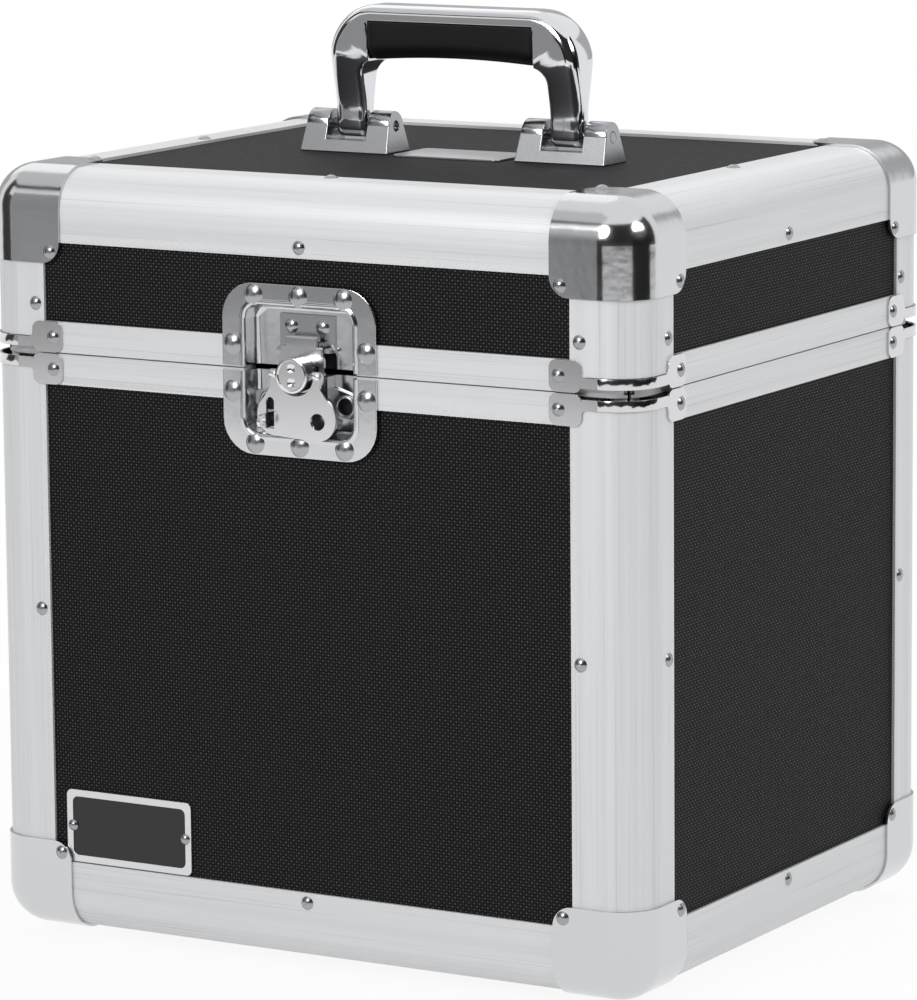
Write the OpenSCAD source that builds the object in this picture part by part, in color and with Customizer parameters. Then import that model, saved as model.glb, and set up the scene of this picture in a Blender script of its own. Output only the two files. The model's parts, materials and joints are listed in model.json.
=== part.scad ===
// Record carrying case: laminated panels held in metal angles, a lid hinged at the back,
// a recessed turn latch at the front and a fold-down handle on top.
// Millimetres. X is the width, -Y is the front, +Z is up, and the feet stand on z = 0.

/* [Case] */
// Outside width over the angles
case_w = 360; // [330:5:420]
// Outside depth over the angles
case_d = 304; // [270:2:380]
// Outside height of body and lid together, without the feet
case_h = 375; // [350:5:420]
// Height of the lid above the middle of the seam
lid_h = 88.6; // [80:0.2:120]
// Clear gap between the body and the lid all round
seam_gap = 0.6; // [0.4:0.1:1]
// Thickness of the laminated panels
panel_t = 7; // [5:0.5:9]

/* [Metal angles] */
// Visible leg of the metal angles
edge_leg = 35; // [30:1:38]
// Outside radius of the angles
edge_r = 20; // [16:1:22]
// Wall of the angles
edge_t = 1.5; // [1:0.1:2]
// Length of the angles' inner legs, from the panel's inner face
lip_leg = 16; // [12:1:20]
// Height of the visible band of the rim sections
rim_band = 15; // [12:0.5:20]
// Height of the rim's inner leg
rim_lip = 12; // [9:0.5:15]
// Height of the tongue on the body's rim
tongue_h = 4; // [3:0.2:4.6]
// Width of the tongue on the body's rim
tongue_w = 4; // [3:0.2:5]
// Depth of the groove in the lid's rim
groove_h = 5; // [4.8:0.1:7]

/* [Ball corners] */
// Length of a ball corner along each edge
corner_l = 45; // [41:0.5:50]
// Radius of the free corner of each flap
corner_flap_r = 10; // [6:0.5:14]
// Sheet thickness of the ball corners
corner_t = 1.2; // [0.8:0.1:1.5]
// Distance of a ball corner's rivets from the two case edges
corner_rivet = 39.5; // [38.5:0.5:40.5]

/* [Rim braces] */
// Far end of a brace's flap, from the case's corner
brace_l = 45.5; // [42:0.5:52]
// Near end of a brace's flap, from the case's corner
brace_in = 28.5; // [26:0.5:31]
// Height of the band that wraps the corner
brace_band = 5; // [4:0.5:6]
// Height of the open slot between a brace's band and the seam
brace_slot = 2.2; // [1.6:0.2:2.6]
// Sheet thickness of the braces
brace_t = 1; // [0.8:0.1:1.2]
// Corner radius of the braces' flaps
brace_r = 4; // [2:0.5:6]
// Fillet between a brace's flaps and its band
brace_fillet = 2.4; // [1:0.2:3]
// Distance of a brace's rivet from the case's corner
brace_rivet = 40.5; // [39.5:0.5:41.5]

/* [Rivets] */
// Head diameter of the case rivets
rivet_d = 6.8; // [5.5:0.1:7.4]
// Head height of the case rivets
rivet_h = 1.6; // [1:0.1:2]
// Shank diameter of the case rivets
shank_d = 3.2; // [2.4:0.1:4]
// Distance of the rivets in the angles from the case's edge
rivet_in = 30; // [27.5:0.5:31]
// Height of the rivets in the body's upright angles, above the underside
rivet_mid_h = 160; // [120:5:200]
// Height of the rivets in the lid's upright angles, above the seam
lid_rivet_h = 23.6; // [22.6:0.2:40]
// Radial clearance round a rivet's shank
shank_gap = 0.1; // [0.05:0.05:0.2]

/* [Latch dish] */
// Width of the latch dish
dish_w = 85; // [80:1:96]
// Height of the latch dish, both halves
dish_h = 82; // [78:1:92]
// Outside corner radius of the latch dish
dish_r = 17; // [12:1:20]
// Width of the recess
recess_w = 59; // [56:1:60]
// Height of the recess, both halves
recess_h = 61; // [60:1:64]
// Depth of the recess floor behind the front of the angles
recess_d = 8; // [8:0.1:9]
// Corner radius of the recess
recess_r = 7; // [4:1:10]
// Sheet thickness of the dish
dish_t = 1.2; // [1:0.1:1.4]
// Gap between the two halves of the dish
dish_gap = 2.6; // [1.6:0.2:3]
// Width of the raised bead round the recess
bead_w = 2.4; // [1.6:0.2:3]
// Height of the raised bead
bead_h = 0.8; // [0.4:0.1:1]
// Head diameter of the dish's rivets
dish_rivet_d = 10.4; // [8:0.2:10.6]
// Head height of the dish's rivets
dish_rivet_h = 1.8; // [1.2:0.1:1.9]
// Shank diameter of the dish's rivets
dish_shank_d = 4; // [3:0.2:5]
// Distance of the dish's rivets from its outer edge
dish_rivet_in = 5.6; // [5.4:0.1:6]
// Distance of the outer rivets in the top and bottom rows from the middle
dish_rivet_x = 24.7; // [22:0.5:26]
// Height of the side rivets above and below the seam
dish_rivet_z = 11.2; // [10:0.2:13]

/* [Latch mechanism] */
// Diameter of the turning post's head
post_d = 17; // [15:0.5:18]
// Height of the post's face in front of the angles
post_out = 8.6; // [6.5:0.1:8.8]
// Diameter of the post's shaft
post_shaft_d = 6; // [5:0.5:7]
// Throw of the eccentric, half of the hook's lift
throw = 3; // [2:0.5:3]
// Diameter of the eccentric disc
cam_d = 12.6; // [12:0.2:13]
// Running clearance of shafts and pins, on the radius
run_gap = 0.05; // [0.03:0.01:0.09]
// Clearance between moving flat pieces
slide_gap = 0.4; // [0.3:0.05:0.4]
// Thickness of the hook plate
hook_t = 1.6; // [1.2:0.1:1.8]
// Width of the hook's arm
hook_w = 17; // [13:1:20]
// Width of the hook plate round the eccentric
hook_plate_w = 25; // [24:0.5:27]
// Height of the hook's claw above the latch's axis
claw_top = 17.9; // [17:0.1:18]
// Distance of the strike's rivets from the middle
strike_rivet_x = 8.6; // [7:0.2:10]
// Height of the strike's rivets above the latch's axis
strike_rivet_up = 21.4; // [20.6:0.2:22.4]
// Head diameter of the strike's rivets
strike_rivet_d = 7.4; // [6:0.2:8]
// Clearance between the post's head and the wing
wing_clear = 1.7; // [1.6:0.1:2]
// Thickness of the wing
wing_t = 1.5; // [1.2:0.1:1.8]
// Diameter of the hole in the wing
wing_hole_d = 8; // [6:0.5:10]
// Height of the slot in the wing
wing_slot_h = 15; // [13:0.5:15.5]
// Width of the slot in the wing
wing_slot_w = 4.4; // [4.2:0.1:4.6]
// Diameter of the wing's pin
wing_pin_d = 2; // [1.6:0.2:2.4]
// Outside diameter of the hollow rivets that hold the latch in the dish
eyelet_d = 11; // [10:0.2:11.2]
// Diameter of the hollow rivets' tubes
eyelet_tube_d = 9; // [8.4:0.2:9.4]
// Bore of the hollow rivets
eyelet_bore_d = 7.6; // [6:0.2:7.8]
// Distance of the hollow rivets from the latch's middle
eyelet_x = 21; // [20.8:0.1:21.4]
// Depth of the hollow rivets below the latch's axis
eyelet_down = 15.2; // [14.6:0.1:15.4]

/* [Handle] */
// Outside width of the bail
bail_w = 140; // [130:2:150]
// Height of the bail's top above the lid's angles
bail_h = 70.5; // [62:0.5:85]
// Width of a bail leg
leg_w = 18; // [16:0.5:20]
// Depth of a bail leg at its pin
leg_d = 12; // [10:0.5:13]
// Depth of the bail beside the grip
bail_d = 23; // [18:0.5:24]
// Rounding of the bail's upper edges
bail_edge_r = 5; // [3:0.5:8]
// Outside corner radius of the bail
bail_r = 26; // [18:1:30]
// Height of the bail's bar above the grip
bar_h = 6; // [5:0.5:8]
// Height of the grip
grip_h = 20; // [16:1:24]
// Depth of the grip
grip_d = 24.6; // [20:0.2:24.8]
// Rounding of the grip's lower edges
grip_r = 8; // [4:0.5:9]
// Rise of the grip's underside in the middle
grip_arch = 2; // [1:0.5:3]
// Width of a handle bracket
bracket_w = 50; // [46:1:54]
// Depth of a handle bracket at its base
bracket_d = 23; // [20:1:26]
// Depth of a handle bracket at the top of its ears
bracket_top_d = 14; // [13:0.5:16]
// Height of a handle bracket
bracket_h = 20.5; // [19.5:0.5:23]
// Height of the handle's pins above the lid's panel
pin_h = 13; // [12.5:0.1:13.5]
// Width of the notch for the leg
notch_w = 22.5; // [21.5:0.5:24]
// Diameter of the handle's pins
handle_pin_d = 5; // [4:0.5:6]

/* [Hinges] */
// Distance of each hinge's outer end from the case's side
hinge_side = 55; // [48:1:66]
// Width of a hinge
hinge_w = 60; // [50:2:70]
// Height of a hinge leaf from the axis
leaf_h = 32; // [26:1:40]
// Thickness of a hinge leaf
leaf_t = 1.5; // [1.2:0.1:1.8]
// Outside diameter of the hinge knuckles
knuckle_d = 8; // [7:0.5:9]
// Diameter of the hinge pins
hinge_pin_d = 4; // [3:0.5:5]

/* [Lining, feet and plates] */
// Thickness of the foam lining
foam_t = 8; // [5:0.5:10]
// Diameter of a foot at the floor
foot_d = 30; // [24:1:36]
// Height of the feet
foot_h = 8; // [6:0.5:12]
// Shank diameter of the feet's screws
screw_d = 4; // [3:0.2:5]
// Distance of a foot's middle from the case's sides
foot_in = 62; // [60:1:80]
// Width of the front nameplate
plate_w = 72; // [60:1:80]
// Height of the front nameplate
plate_h = 36; // [30:1:40]
// Distance of the front nameplate's left end from the left side
plate_left = 42; // [38:1:60]
// Height of the front nameplate's lower edge above the underside
plate_low = 35.5; // [35.5:0.5:60]
// Thickness of the nameplates
plate_t = 1; // [0.6:0.1:1.2]
// Corner radius of the nameplates
plate_r = 3; // [1:0.5:6]
// Width of the raised border of the front nameplate
plate_border = 3.4; // [2:0.2:4]
// Distance of the front nameplate's rivets from its ends
plate_rivet_in = 3.4; // [3.2:0.1:5]
// Head diameter of the nameplate's rivets
plate_rivet_d = 5.6; // [4:0.2:6]
// Width of the top nameplate
top_plate_w = 60; // [50:1:66]
// Depth of the top nameplate
top_plate_d = 34; // [28:1:36]

/* [Hidden] */
$fn = 64;

// Seats and clearances
seat = 0.1;
eps = 0.01;
panel_seat = 0.1;
near_gap = 0.2;
clear_gap = 0.3;
wide_gap = 0.4;
cut_through = 60;
over = 1;

// Where the case's main planes lie
base_z = foot_h;
body_h = case_h - lid_h;
seam_z = base_z + body_h;
top_z = base_z + case_h;
half_w = case_w / 2;
half_d = case_d / 2;
front_y = -half_d;

// Depths behind the outer face of the angles
panel_out = edge_t + panel_seat;
panel_in = panel_out + panel_t;
lip_out = panel_in + panel_seat;
lip_in = lip_out + edge_t;
pad_out = lip_in + near_gap;
pad_in = pad_out + foam_t;
web_at = edge_r - edge_t - edge_t;
panel_end = web_at + edge_t + panel_seat;
angle_stop = edge_leg + near_gap;

// The rim's heights, measured from the middle of the seam
rim_face = seam_gap / 2;
groove_floor = rim_face + groove_h;
brace_foot = rim_face + brace_slot;
brace_top = brace_foot + brace_band;
upright_stop = brace_top + near_gap;
body_panel_top = seam_z - rim_face - edge_t - panel_seat;
lid_panel_foot = seam_z + groove_floor + edge_t + panel_seat;
relief = 4;
mitre_gap = 0.15;
rim_rivet_h = rim_face + rim_band / 2;

// The latch's planes, measured inward from the front of the angles
flange_out = -seat - dish_t;
wing_in = flange_out - dish_rivet_h - clear_gap;
wing_mid = wing_in - wing_t / 2;
wing_out = wing_in - wing_t;
post_back = 0.6;
hook_out = post_back + slide_gap;
hook_in = hook_out + hook_t;
cam_in = hook_in + slide_gap / 2;
base_in = recess_d - seat;
base_t = 1.5;
base_out = base_in - base_t;
tab_stop = 0.5;
tab_in = recess_d - tab_stop;
boss_out = cam_in + slide_gap;
latch_drop = 0.8;
latch_z = seam_z - latch_drop;
cut_half_w = recess_w / 2 + dish_t + wide_gap;
cut_low = seam_z - recess_h / 2 - dish_t - wide_gap;
cut_high = seam_z + recess_h / 2 + dish_t + wide_gap;
strike_t = 1.2;
strike_out = recess_d - seat - strike_t;
ledge_out = hook_in + slide_gap;
claw_t = 2.9;
strike_rivet_h = 1.6;
claw_in = strike_out - strike_rivet_h - slide_gap;
ledge_top = claw_top - claw_t - clear_gap;
cam_slack = 0.75;

rail_t = 1.2;
base_w = hook_plate_w + 2 * slide_gap + 2 * rail_t;
base_drop = 20;
base_tail = 26.6;
base_low = latch_z - base_tail;
base_high = seam_z - dish_gap / 2 - wide_gap;
boss_d = 11;
rail_out = hook_out + slide_gap;
face_recess = 0.4;
face_rim = 1.3;
dimple_up = 3.2;
dimple_d = 3.6;
wing_arm_w = 3.4;
knuckle_out = post_d / 2 + wing_clear + wing_arm_w;
wing_knuckle_d = 4.2;
wing_arm_up = 2.1;
wing_arm_down = 6;
shoulder = 20;
wing_slot_x = 13.9;
wing_slot_low = -26.4;
wing_hole = [12.2, -21.6];
lobe_right = [11.4, -20.2];
lobe_right_r = 10.8;
lobe_left = [-11, -19.6];
lobe_left_r = 10;
hook_drop = 23;
hook_shoulder = 8.6;
strike_w = 30;
strike_low = 10;
strike_high = 27.1;
strike_tab_r = 2.2;
strike_tab_x = strike_w / 2 - strike_tab_r;
strike_tab_out = hook_in + slide_gap;
ledge_w = 19;
ledge_t = 2.5;
staple_x = 15;
staple_t = 1.6;
staple_foot = 7;
staple_foot_h = 3.8;
staple_low = -25.6;
staple_h = 6.6;
staple_hole_d = 4.4;
staple_rim = 1;
eyelet_rim = 1.2;
eyelet_back = 0.7;
eyelet_l = recess_d + dish_t + eyelet_back - base_out;
ear_top = -6.4;
ear_fall = -10.8;
ear_out = recess_w / 2 - 2 * wide_gap;
ear_low = -21.2;
ear_cut = 4.5;

// The handle's planes
lid_face = top_z - panel_out;
pin_z = lid_face + pin_h;
bail_top = top_z + bail_h;
bar_under = bail_top - bar_h;
grip_low = bar_under - grip_h;
leg_x = bail_w / 2 - leg_w / 2;
gusset = 5.5;
taper_foot = 12;
window_w = bail_w - 2 * leg_w;
grip_w = window_w - 2 * gusset;

notch_floor = 6.2;
bracket_lean = 5;
pin_inset = 2.5;
handle_pin_l = bracket_w - 2 * pin_inset;
window_r = 8;
grip_seat = 0.05;
arch_half = grip_w / 2;
arch_r = (arch_half * arch_half + grip_arch * grip_arch) / (2 * grip_arch);

// The hinges' places and axis
hinge_x = half_w - hinge_side - hinge_w / 2;
hinge_stand = 3.2;
hinge_y = half_d + seat + leaf_t + hinge_stand;
hinge_z = seam_z;
knuckles = 5;
knuckle_gap = 0.5;
leaf_rivet_in = 7;
leaf_y = half_d + seat - hinge_y;
leaf_gap = (knuckle_d - knuckle_gap) / 2;

// The lining, the feet and the plates
pad_gap = 0.3;
pad_back = 2.4;
foot_flare = 4;
screw_head_d = 9;
screw_head_h = 2.6;
screw_head_gap = 0.5;
screw_up = 5.6;
plate_sink = 0.4;

metal = "#c9cbce";
bright = "#dfe1e4";
laminate = "#232325";
foam = "#2e2e30";
rubber = "#1a1a1a";

// ---------- placing helpers ----------

// Turns X to Y, Y to Z and Z to X
module cycle() rotate([90, 0, 90]) children();

// The same piece on the three faces that meet in a corner
module on_three_faces() {
    children();
    cycle() children();
    cycle() cycle() children();
}

// From a corner's own frame, where all three axes point into the case
module at_bottom_corner(right, back)
    mirror([right, 0, 0]) mirror([0, back, 0])
        translate([-half_w, -half_d, base_z]) children();

module at_top_corner(right, back)
    mirror([right, 0, 0]) mirror([0, back, 0])
        translate([-half_w, -half_d, top_z]) mirror([0, 0, 1]) children();

module at_seam_corners(up)
    for (right = [0, 1], back = [0, 1])
        mirror([right, 0, 0]) mirror([0, back, 0])
            translate([-half_w, -half_d, seam_z]) mirror([0, 0, 1 - up]) children();

// Onto the front, with Z pointing out of it and Y up
module on_front(depth = 0) translate([0, front_y + depth, 0]) rotate([90, 0, 0]) children();

// ---------- rivets ----------

module dome(d, h) {
    ball = (d * d / 4 + h * h) / (2 * h);
    rotate_extrude()
        intersection() {
            translate([0, h - ball]) circle(ball, $fn = 128);
            square([d, h]);
        }
}

module rivet(d, h, shank, length) {
    dome(d, h);
    translate([0, 0, -length]) cylinder(d = shank, h = length + h / 2);
}

module plate_rivet_hole() case_rivet_hole();
module dish_rivet_hole()
    translate([0, 0, -cut_through / 2]) cylinder(d = dish_shank_d + 2 * shank_gap, h = cut_through);
module case_rivet(length) rivet(rivet_d, rivet_h, shank_d, length);
module case_rivet_hole()
    translate([0, 0, -cut_through / 2]) cylinder(d = shank_d + 2 * shank_gap, h = cut_through);

// A ball corner's rivet places, in the corner's frame and with Z outward
module corner_rivet_places()
    on_three_faces()
        translate([corner_rivet, corner_rivet, -seat - corner_t]) rotate([180, 0, 0]) children();

// The rivets of one brace, one in each flap
module brace_rivet_places() {
    translate([brace_rivet, -seat - brace_t, rim_rivet_h]) rotate([90, 0, 0]) children();
    translate([-seat - brace_t, brace_rivet, rim_rivet_h]) rotate([0, -90, 0]) children();
}

// Rivets in the upright angles and the bottom angles
module body_angle_rivet_places() {
    for (right = [0, 1], back = [0, 1])
        at_bottom_corner(right, back) {
            translate([rivet_in, 0, rivet_mid_h]) rotate([90, 0, 0]) children();
            translate([0, rivet_in, rivet_mid_h]) rotate([0, -90, 0]) children();
        }
    for (back = [0, 1])
        mirror([0, back, 0]) translate([0, -half_d, base_z + rivet_in]) rotate([90, 0, 0]) children();
    for (right = [0, 1])
        mirror([right, 0, 0]) translate([-half_w, 0, base_z + rivet_in]) rotate([0, -90, 0]) children();
}

// Rivets in the lid's upright angles and its top angles
module lid_angle_rivet_places() {
    at_seam_corners(1) {
        translate([rivet_in, 0, lid_rivet_h]) rotate([90, 0, 0]) children();
        translate([0, rivet_in, lid_rivet_h]) rotate([0, -90, 0]) children();
    }
    for (back = [0, 1])
        mirror([0, back, 0]) {
            translate([0, -half_d, top_z - rivet_in]) rotate([90, 0, 0]) children();
            translate([0, -half_d + rivet_in, top_z]) children();
        }
    for (right = [0, 1])
        mirror([right, 0, 0]) {
            translate([-half_w, 0, top_z - rivet_in]) rotate([0, -90, 0]) children();
            translate([-half_w + rivet_in, 0, top_z]) children();
        }
}

// Two rivets in each hinge leaf, above the seam for up = 1 and below it for up = 0
module hinge_rivet_places(up)
    for (side = [-1, 1], end = [-1, 1])
        translate([side * hinge_x + end * hinge_w / 3, half_d + seat + leaf_t, seam_z])
            mirror([0, 0, 1 - up]) translate([0, 0, leaf_h - leaf_rivet_in]) rotate([-90, 0, 0]) children();

// The front nameplate's rivets
module plate_rivet_places()
    for (end = [0, 1])
        translate([
            -half_w + plate_left + plate_rivet_in + end * (plate_w - 2 * plate_rivet_in),
            front_y + panel_out - seat - plate_t,
            base_z + plate_low + plate_h / 2
        ]) rotate([90, 0, 0]) children();

// Half of the dish's rivets: a row of three and one at each side
module dish_rivet_places(up)
    translate([0, front_y + flange_out, seam_z]) mirror([0, 0, 1 - up]) rotate([90, 0, 0]) {
        for (x = [-dish_rivet_x, 0, dish_rivet_x])
            translate([x, dish_h / 2 - dish_rivet_in, 0]) children();
        for (side = [-1, 1])
            translate([side * (dish_w / 2 - dish_rivet_in), dish_rivet_z, 0]) children();
    }

module strike_rivet_places()
    for (side = [-1, 1])
        on_front(strike_out) translate([side * strike_rivet_x, latch_z + strike_rivet_up, 0]) children();

module foot_places()
    for (right = [-1, 1], back = [-1, 1])
        translate([right * (half_w - foot_in), back * (half_d - foot_in), 0]) children();

module body_rivet_holes() {
    for (right = [0, 1], back = [0, 1])
        at_bottom_corner(right, back) corner_rivet_places() case_rivet_hole();
    at_seam_corners(0) brace_rivet_places() case_rivet_hole();
    body_angle_rivet_places() case_rivet_hole();
}

module lid_rivet_holes() {
    for (right = [0, 1], back = [0, 1])
        at_top_corner(right, back) corner_rivet_places() case_rivet_hole();
    at_seam_corners(1) brace_rivet_places() case_rivet_hole();
    lid_angle_rivet_places() case_rivet_hole();
}

// ---------- panels ----------

module floor_panel() color(laminate)
    difference() {
        translate([-half_w + panel_end, -half_d + panel_end, base_z + panel_out])
            cube([case_w - 2 * panel_end, case_d - 2 * panel_end, panel_t]);
        body_rivet_holes();
        foot_places() cylinder(d = screw_d + 2 * shank_gap, h = cut_through);
    }

module top_panel() color(laminate)
    difference() {
        translate([-half_w + panel_end, -half_d + panel_end, top_z - panel_in])
            cube([case_w - 2 * panel_end, case_d - 2 * panel_end, panel_t]);
        lid_rivet_holes();
    }

// An upright panel on the front for back = 0, or on the back for back = 1
module wall_x(back, low, high)
    mirror([0, back, 0]) translate([-half_w + panel_end, -half_d + panel_out, low])
        cube([case_w - 2 * panel_end, panel_t, high - low]);

module wall_y(right, low, high)
    mirror([right, 0, 0]) translate([-half_w + panel_out, -half_d + panel_end, low])
        cube([panel_t, case_d - 2 * panel_end, high - low]);

// The way through the front for the latch dish
module dish_cut()
    translate([-cut_half_w, front_y - over, cut_low])
        cube([2 * cut_half_w, lip_in + 2 * over, cut_high - cut_low]);

module front_panel() color(laminate)
    difference() {
        wall_x(0, base_z + panel_end, body_panel_top);
        dish_cut();
        body_rivet_holes();
        plate_rivet_places() plate_rivet_hole();
        dish_rivet_places(0) dish_rivet_hole();
    }

module back_panel() color(laminate)
    difference() {
        wall_x(1, base_z + panel_end, body_panel_top);
        body_rivet_holes();
        hinge_rivet_places(0) case_rivet_hole();
    }

module side_panel(right) color(laminate)
    difference() {
        wall_y(right, base_z + panel_end, body_panel_top);
        body_rivet_holes();
    }

module lid_front_panel() color(laminate)
    difference() {
        wall_x(0, lid_panel_foot, top_z - panel_end);
        dish_cut();
        lid_rivet_holes();
        dish_rivet_places(1) dish_rivet_hole();
    }

module lid_back_panel() color(laminate)
    difference() {
        wall_x(1, lid_panel_foot, top_z - panel_end);
        lid_rivet_holes();
        hinge_rivet_places(1) case_rivet_hole();
    }

module lid_side_panel(right) color(laminate)
    difference() {
        wall_y(right, lid_panel_foot, top_z - panel_end);
        lid_rivet_holes();
    }

// ---------- metal angles ----------

// The rounded outer skin of an angle, with its corner at the origin
module edge_skin() {
    intersection() {
        translate([edge_r, edge_r])
            difference() {
                circle(edge_r);
                circle(edge_r - edge_t);
            }
        square(edge_r);
    }
    translate([edge_r, 0]) square([edge_leg - edge_r, edge_t]);
    translate([0, edge_r]) square([edge_t, edge_leg - edge_r]);
}

// The inner legs that hold the panels, and the two webs that carry them
module edge_inner() {
    translate([lip_out, lip_out])
        difference() {
            square(lip_leg);
            translate([edge_t, edge_t]) square(lip_leg);
        }
    translate([web_at, edge_t / 2]) square([edge_t, lip_in - edge_t]);
    translate([edge_t / 2, web_at]) square([lip_in - edge_t, edge_t]);
}

module edge_bar(length)
    linear_extrude(length) {
        edge_skin();
        edge_inner();
    }

// An upright angle whose inner legs stop short of the rim
module upright_bar(skin_length, inner_length) {
    linear_extrude(skin_length) edge_skin();
    linear_extrude(inner_length) edge_inner();
}

module corner_angle(right, back) color(metal)
    difference() {
        at_bottom_corner(right, back)
            translate([0, 0, angle_stop])
                upright_bar(
                    body_h - upright_stop - angle_stop,
                    body_h - rim_face - rim_lip - near_gap - angle_stop
                );
        body_angle_rivet_places() case_rivet_hole();
    }

module lid_corner_angles() color(metal)
    difference() {
        for (right = [0, 1], back = [0, 1])
            at_top_corner(right, back)
                translate([0, 0, angle_stop])
                    upright_bar(
                        lid_h - upright_stop - angle_stop,
                        lid_h - groove_floor - rim_lip - near_gap - angle_stop
                    );
        lid_angle_rivet_places() case_rivet_hole();
    }

module edge_bar_x(length) translate([angle_stop, 0, 0]) cycle() edge_bar(length - 2 * angle_stop);
module edge_bar_y(length) translate([0, angle_stop, 0]) cycle() cycle() edge_bar(length - 2 * angle_stop);

module bottom_angle_x(back) color(metal)
    difference() {
        at_bottom_corner(0, back) edge_bar_x(case_w);
        body_angle_rivet_places() case_rivet_hole();
    }

module bottom_angle_y(right) color(metal)
    difference() {
        at_bottom_corner(right, 0) edge_bar_y(case_d);
        body_angle_rivet_places() case_rivet_hole();
    }

module top_edge_angles() color(metal)
    difference() {
        union() {
            for (back = [0, 1]) at_top_corner(0, back) edge_bar_x(case_w);
            for (right = [0, 1]) at_top_corner(right, 0) edge_bar_y(case_d);
        }
        lid_angle_rivet_places() case_rivet_hole();
    }

// ---------- rims ----------

// Cross-section of the body's rim: X is the depth into the case, Y the distance below the seam
module body_rim_profile() {
    translate([0, rim_face]) square([edge_t, rim_band]);
    translate([0, rim_face]) square([lip_in, edge_t]);
    translate([lip_out, rim_face]) square([edge_t, rim_lip]);
    translate([panel_out + panel_t / 2 - tongue_w / 2, -tongue_h])
        square([tongue_w, tongue_h + rim_face + edge_t]);
}

// Cross-section of the lid's rim: Y is the distance above the seam
module lid_rim_profile() {
    translate([0, rim_face]) square([edge_t, rim_band]);
    translate([0, groove_floor]) square([lip_in, edge_t]);
    translate([lip_out, rim_face]) square([edge_t, groove_h + rim_lip]);
}

// Seen from above: a length with mitred ends, set back under the braces at both corners
module rim_plan(length)
    difference() {
        polygon([
            [mitre_gap, -over],
            [length - mitre_gap, -over],
            [length - mitre_gap - lip_in - 2 * over, lip_in + over],
            [mitre_gap + lip_in + 2 * over, lip_in + over]
        ]);
        rim_relief();
        translate([length, 0]) mirror([1, 0]) rim_relief();
    }

module rim_relief()
    difference() {
        translate([-over, -over]) square(angle_stop + over);
        translate([edge_r, edge_r]) circle(edge_r - relief);
        translate([edge_r, relief]) square(edge_leg);
        translate([relief, edge_r]) square(edge_leg);
    }

// One mitred length along X from the corner's frame
module rim_length(length)
    intersection() {
        cycle() linear_extrude(length) children();
        translate([0, 0, -rim_band]) linear_extrude(3 * rim_band) rim_plan(length);
    }

module rim_ring() {
    for (back = [0, 1])
        mirror([0, back, 0]) translate([-half_w, -half_d, 0]) rim_length(case_w) children();
    for (right = [0, 1])
        mirror([right, 0, 0]) mirror([1, -1, 0]) translate([-half_d, -half_w, 0])
            rim_length(case_d) children();
}

module body_rim() color(metal)
    difference() {
        translate([0, 0, seam_z]) mirror([0, 0, 1]) rim_ring() body_rim_profile();
        dish_cut();
        at_seam_corners(0) brace_rivet_places() case_rivet_hole();
        dish_rivet_places(0) dish_rivet_hole();
    }

module lid_rim() color(metal)
    difference() {
        translate([0, 0, seam_z]) rim_ring() lid_rim_profile();
        dish_cut();
        at_seam_corners(1) brace_rivet_places() case_rivet_hole();
        dish_rivet_places(1) dish_rivet_hole();
    }

// ---------- ball corners and braces ----------

// Quarter of a sheet ring round the middle of a rounded edge
module quarter_ring(inner, outer)
    intersection() {
        difference() {
            circle(outer);
            circle(inner);
        }
        translate([-outer, -outer]) square(outer);
    }

module ball_corner() color(bright)
    difference() {
        union() {
            translate([edge_r, edge_r, edge_r]) rotate([0, 0, 180])
                rotate_extrude(angle = 90)
                    mirror([1, 0]) quarter_ring(edge_r + seat, edge_r + seat + corner_t);
            on_three_faces() {
                translate([edge_r, edge_r, edge_r])
                    linear_extrude(corner_l - edge_r) quarter_ring(edge_r + seat, edge_r + seat + corner_t);
                translate([edge_r, edge_r, -seat - corner_t])
                    linear_extrude(corner_t)
                        difference() {
                            square(corner_l - edge_r);
                            translate([corner_l - edge_r - corner_flap_r, corner_l - edge_r - corner_flap_r])
                                difference() {
                                    square(2 * corner_flap_r);
                                    circle(corner_flap_r);
                                }
                        }
            }
        }
        corner_rivet_places() case_rivet_hole();
    }

// A flap in each face, joined by a narrow band round the rounded corner
module rim_brace() {
    linear_extrude_from(brace_foot, brace_band) {
        translate([edge_r, edge_r]) quarter_ring(edge_r + seat, edge_r + seat + brace_t);
        translate([edge_r, -seat - brace_t]) square([brace_in - edge_r + eps, brace_t]);
        translate([-seat - brace_t, edge_r]) square([brace_t, brace_in - edge_r + eps]);
    }
    brace_flap();
    mirror([1, -1, 0]) brace_flap();
}

module linear_extrude_from(low, height) translate([0, 0, low]) linear_extrude(height) children();

module brace_flap()
    difference() {
        translate([0, -seat, 0]) rotate([90, 0, 0])
            linear_extrude(brace_t) {
                translate([brace_in, rim_face]) rounded_corner([brace_l - brace_in, rim_band], brace_r);
                translate([brace_in, brace_top])
                    difference() {
                        translate([-brace_fillet, -eps]) square(brace_fillet + eps);
                        translate([-brace_fillet, brace_fillet]) circle(brace_fillet);
                    }
            }
        brace_rivet_places() case_rivet_hole();
    }

// A rectangle from the origin with its four corners rounded
module rounded_corner(size, r)
    translate(size / 2) rounded(size[0], size[1], r);

// A rectangle about the origin with round corners
module rounded(w, h, r) {
    square([w - 2 * r, h], center = true);
    square([w, h - 2 * r], center = true);
    for (x = [-1, 1], y = [-1, 1])
        translate([x * (w / 2 - r), y * (h / 2 - r)]) circle(r);
}

module body_rim_braces() color(bright) at_seam_corners(0) rim_brace();
module lid_rim_braces() color(bright) at_seam_corners(1) rim_brace();

// ---------- latch ----------

// A flat piece on the front between two depths, drawn as seen from the front
module front_sheet(outer, inner) on_front(inner) linear_extrude(inner - outer) children();

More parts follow.
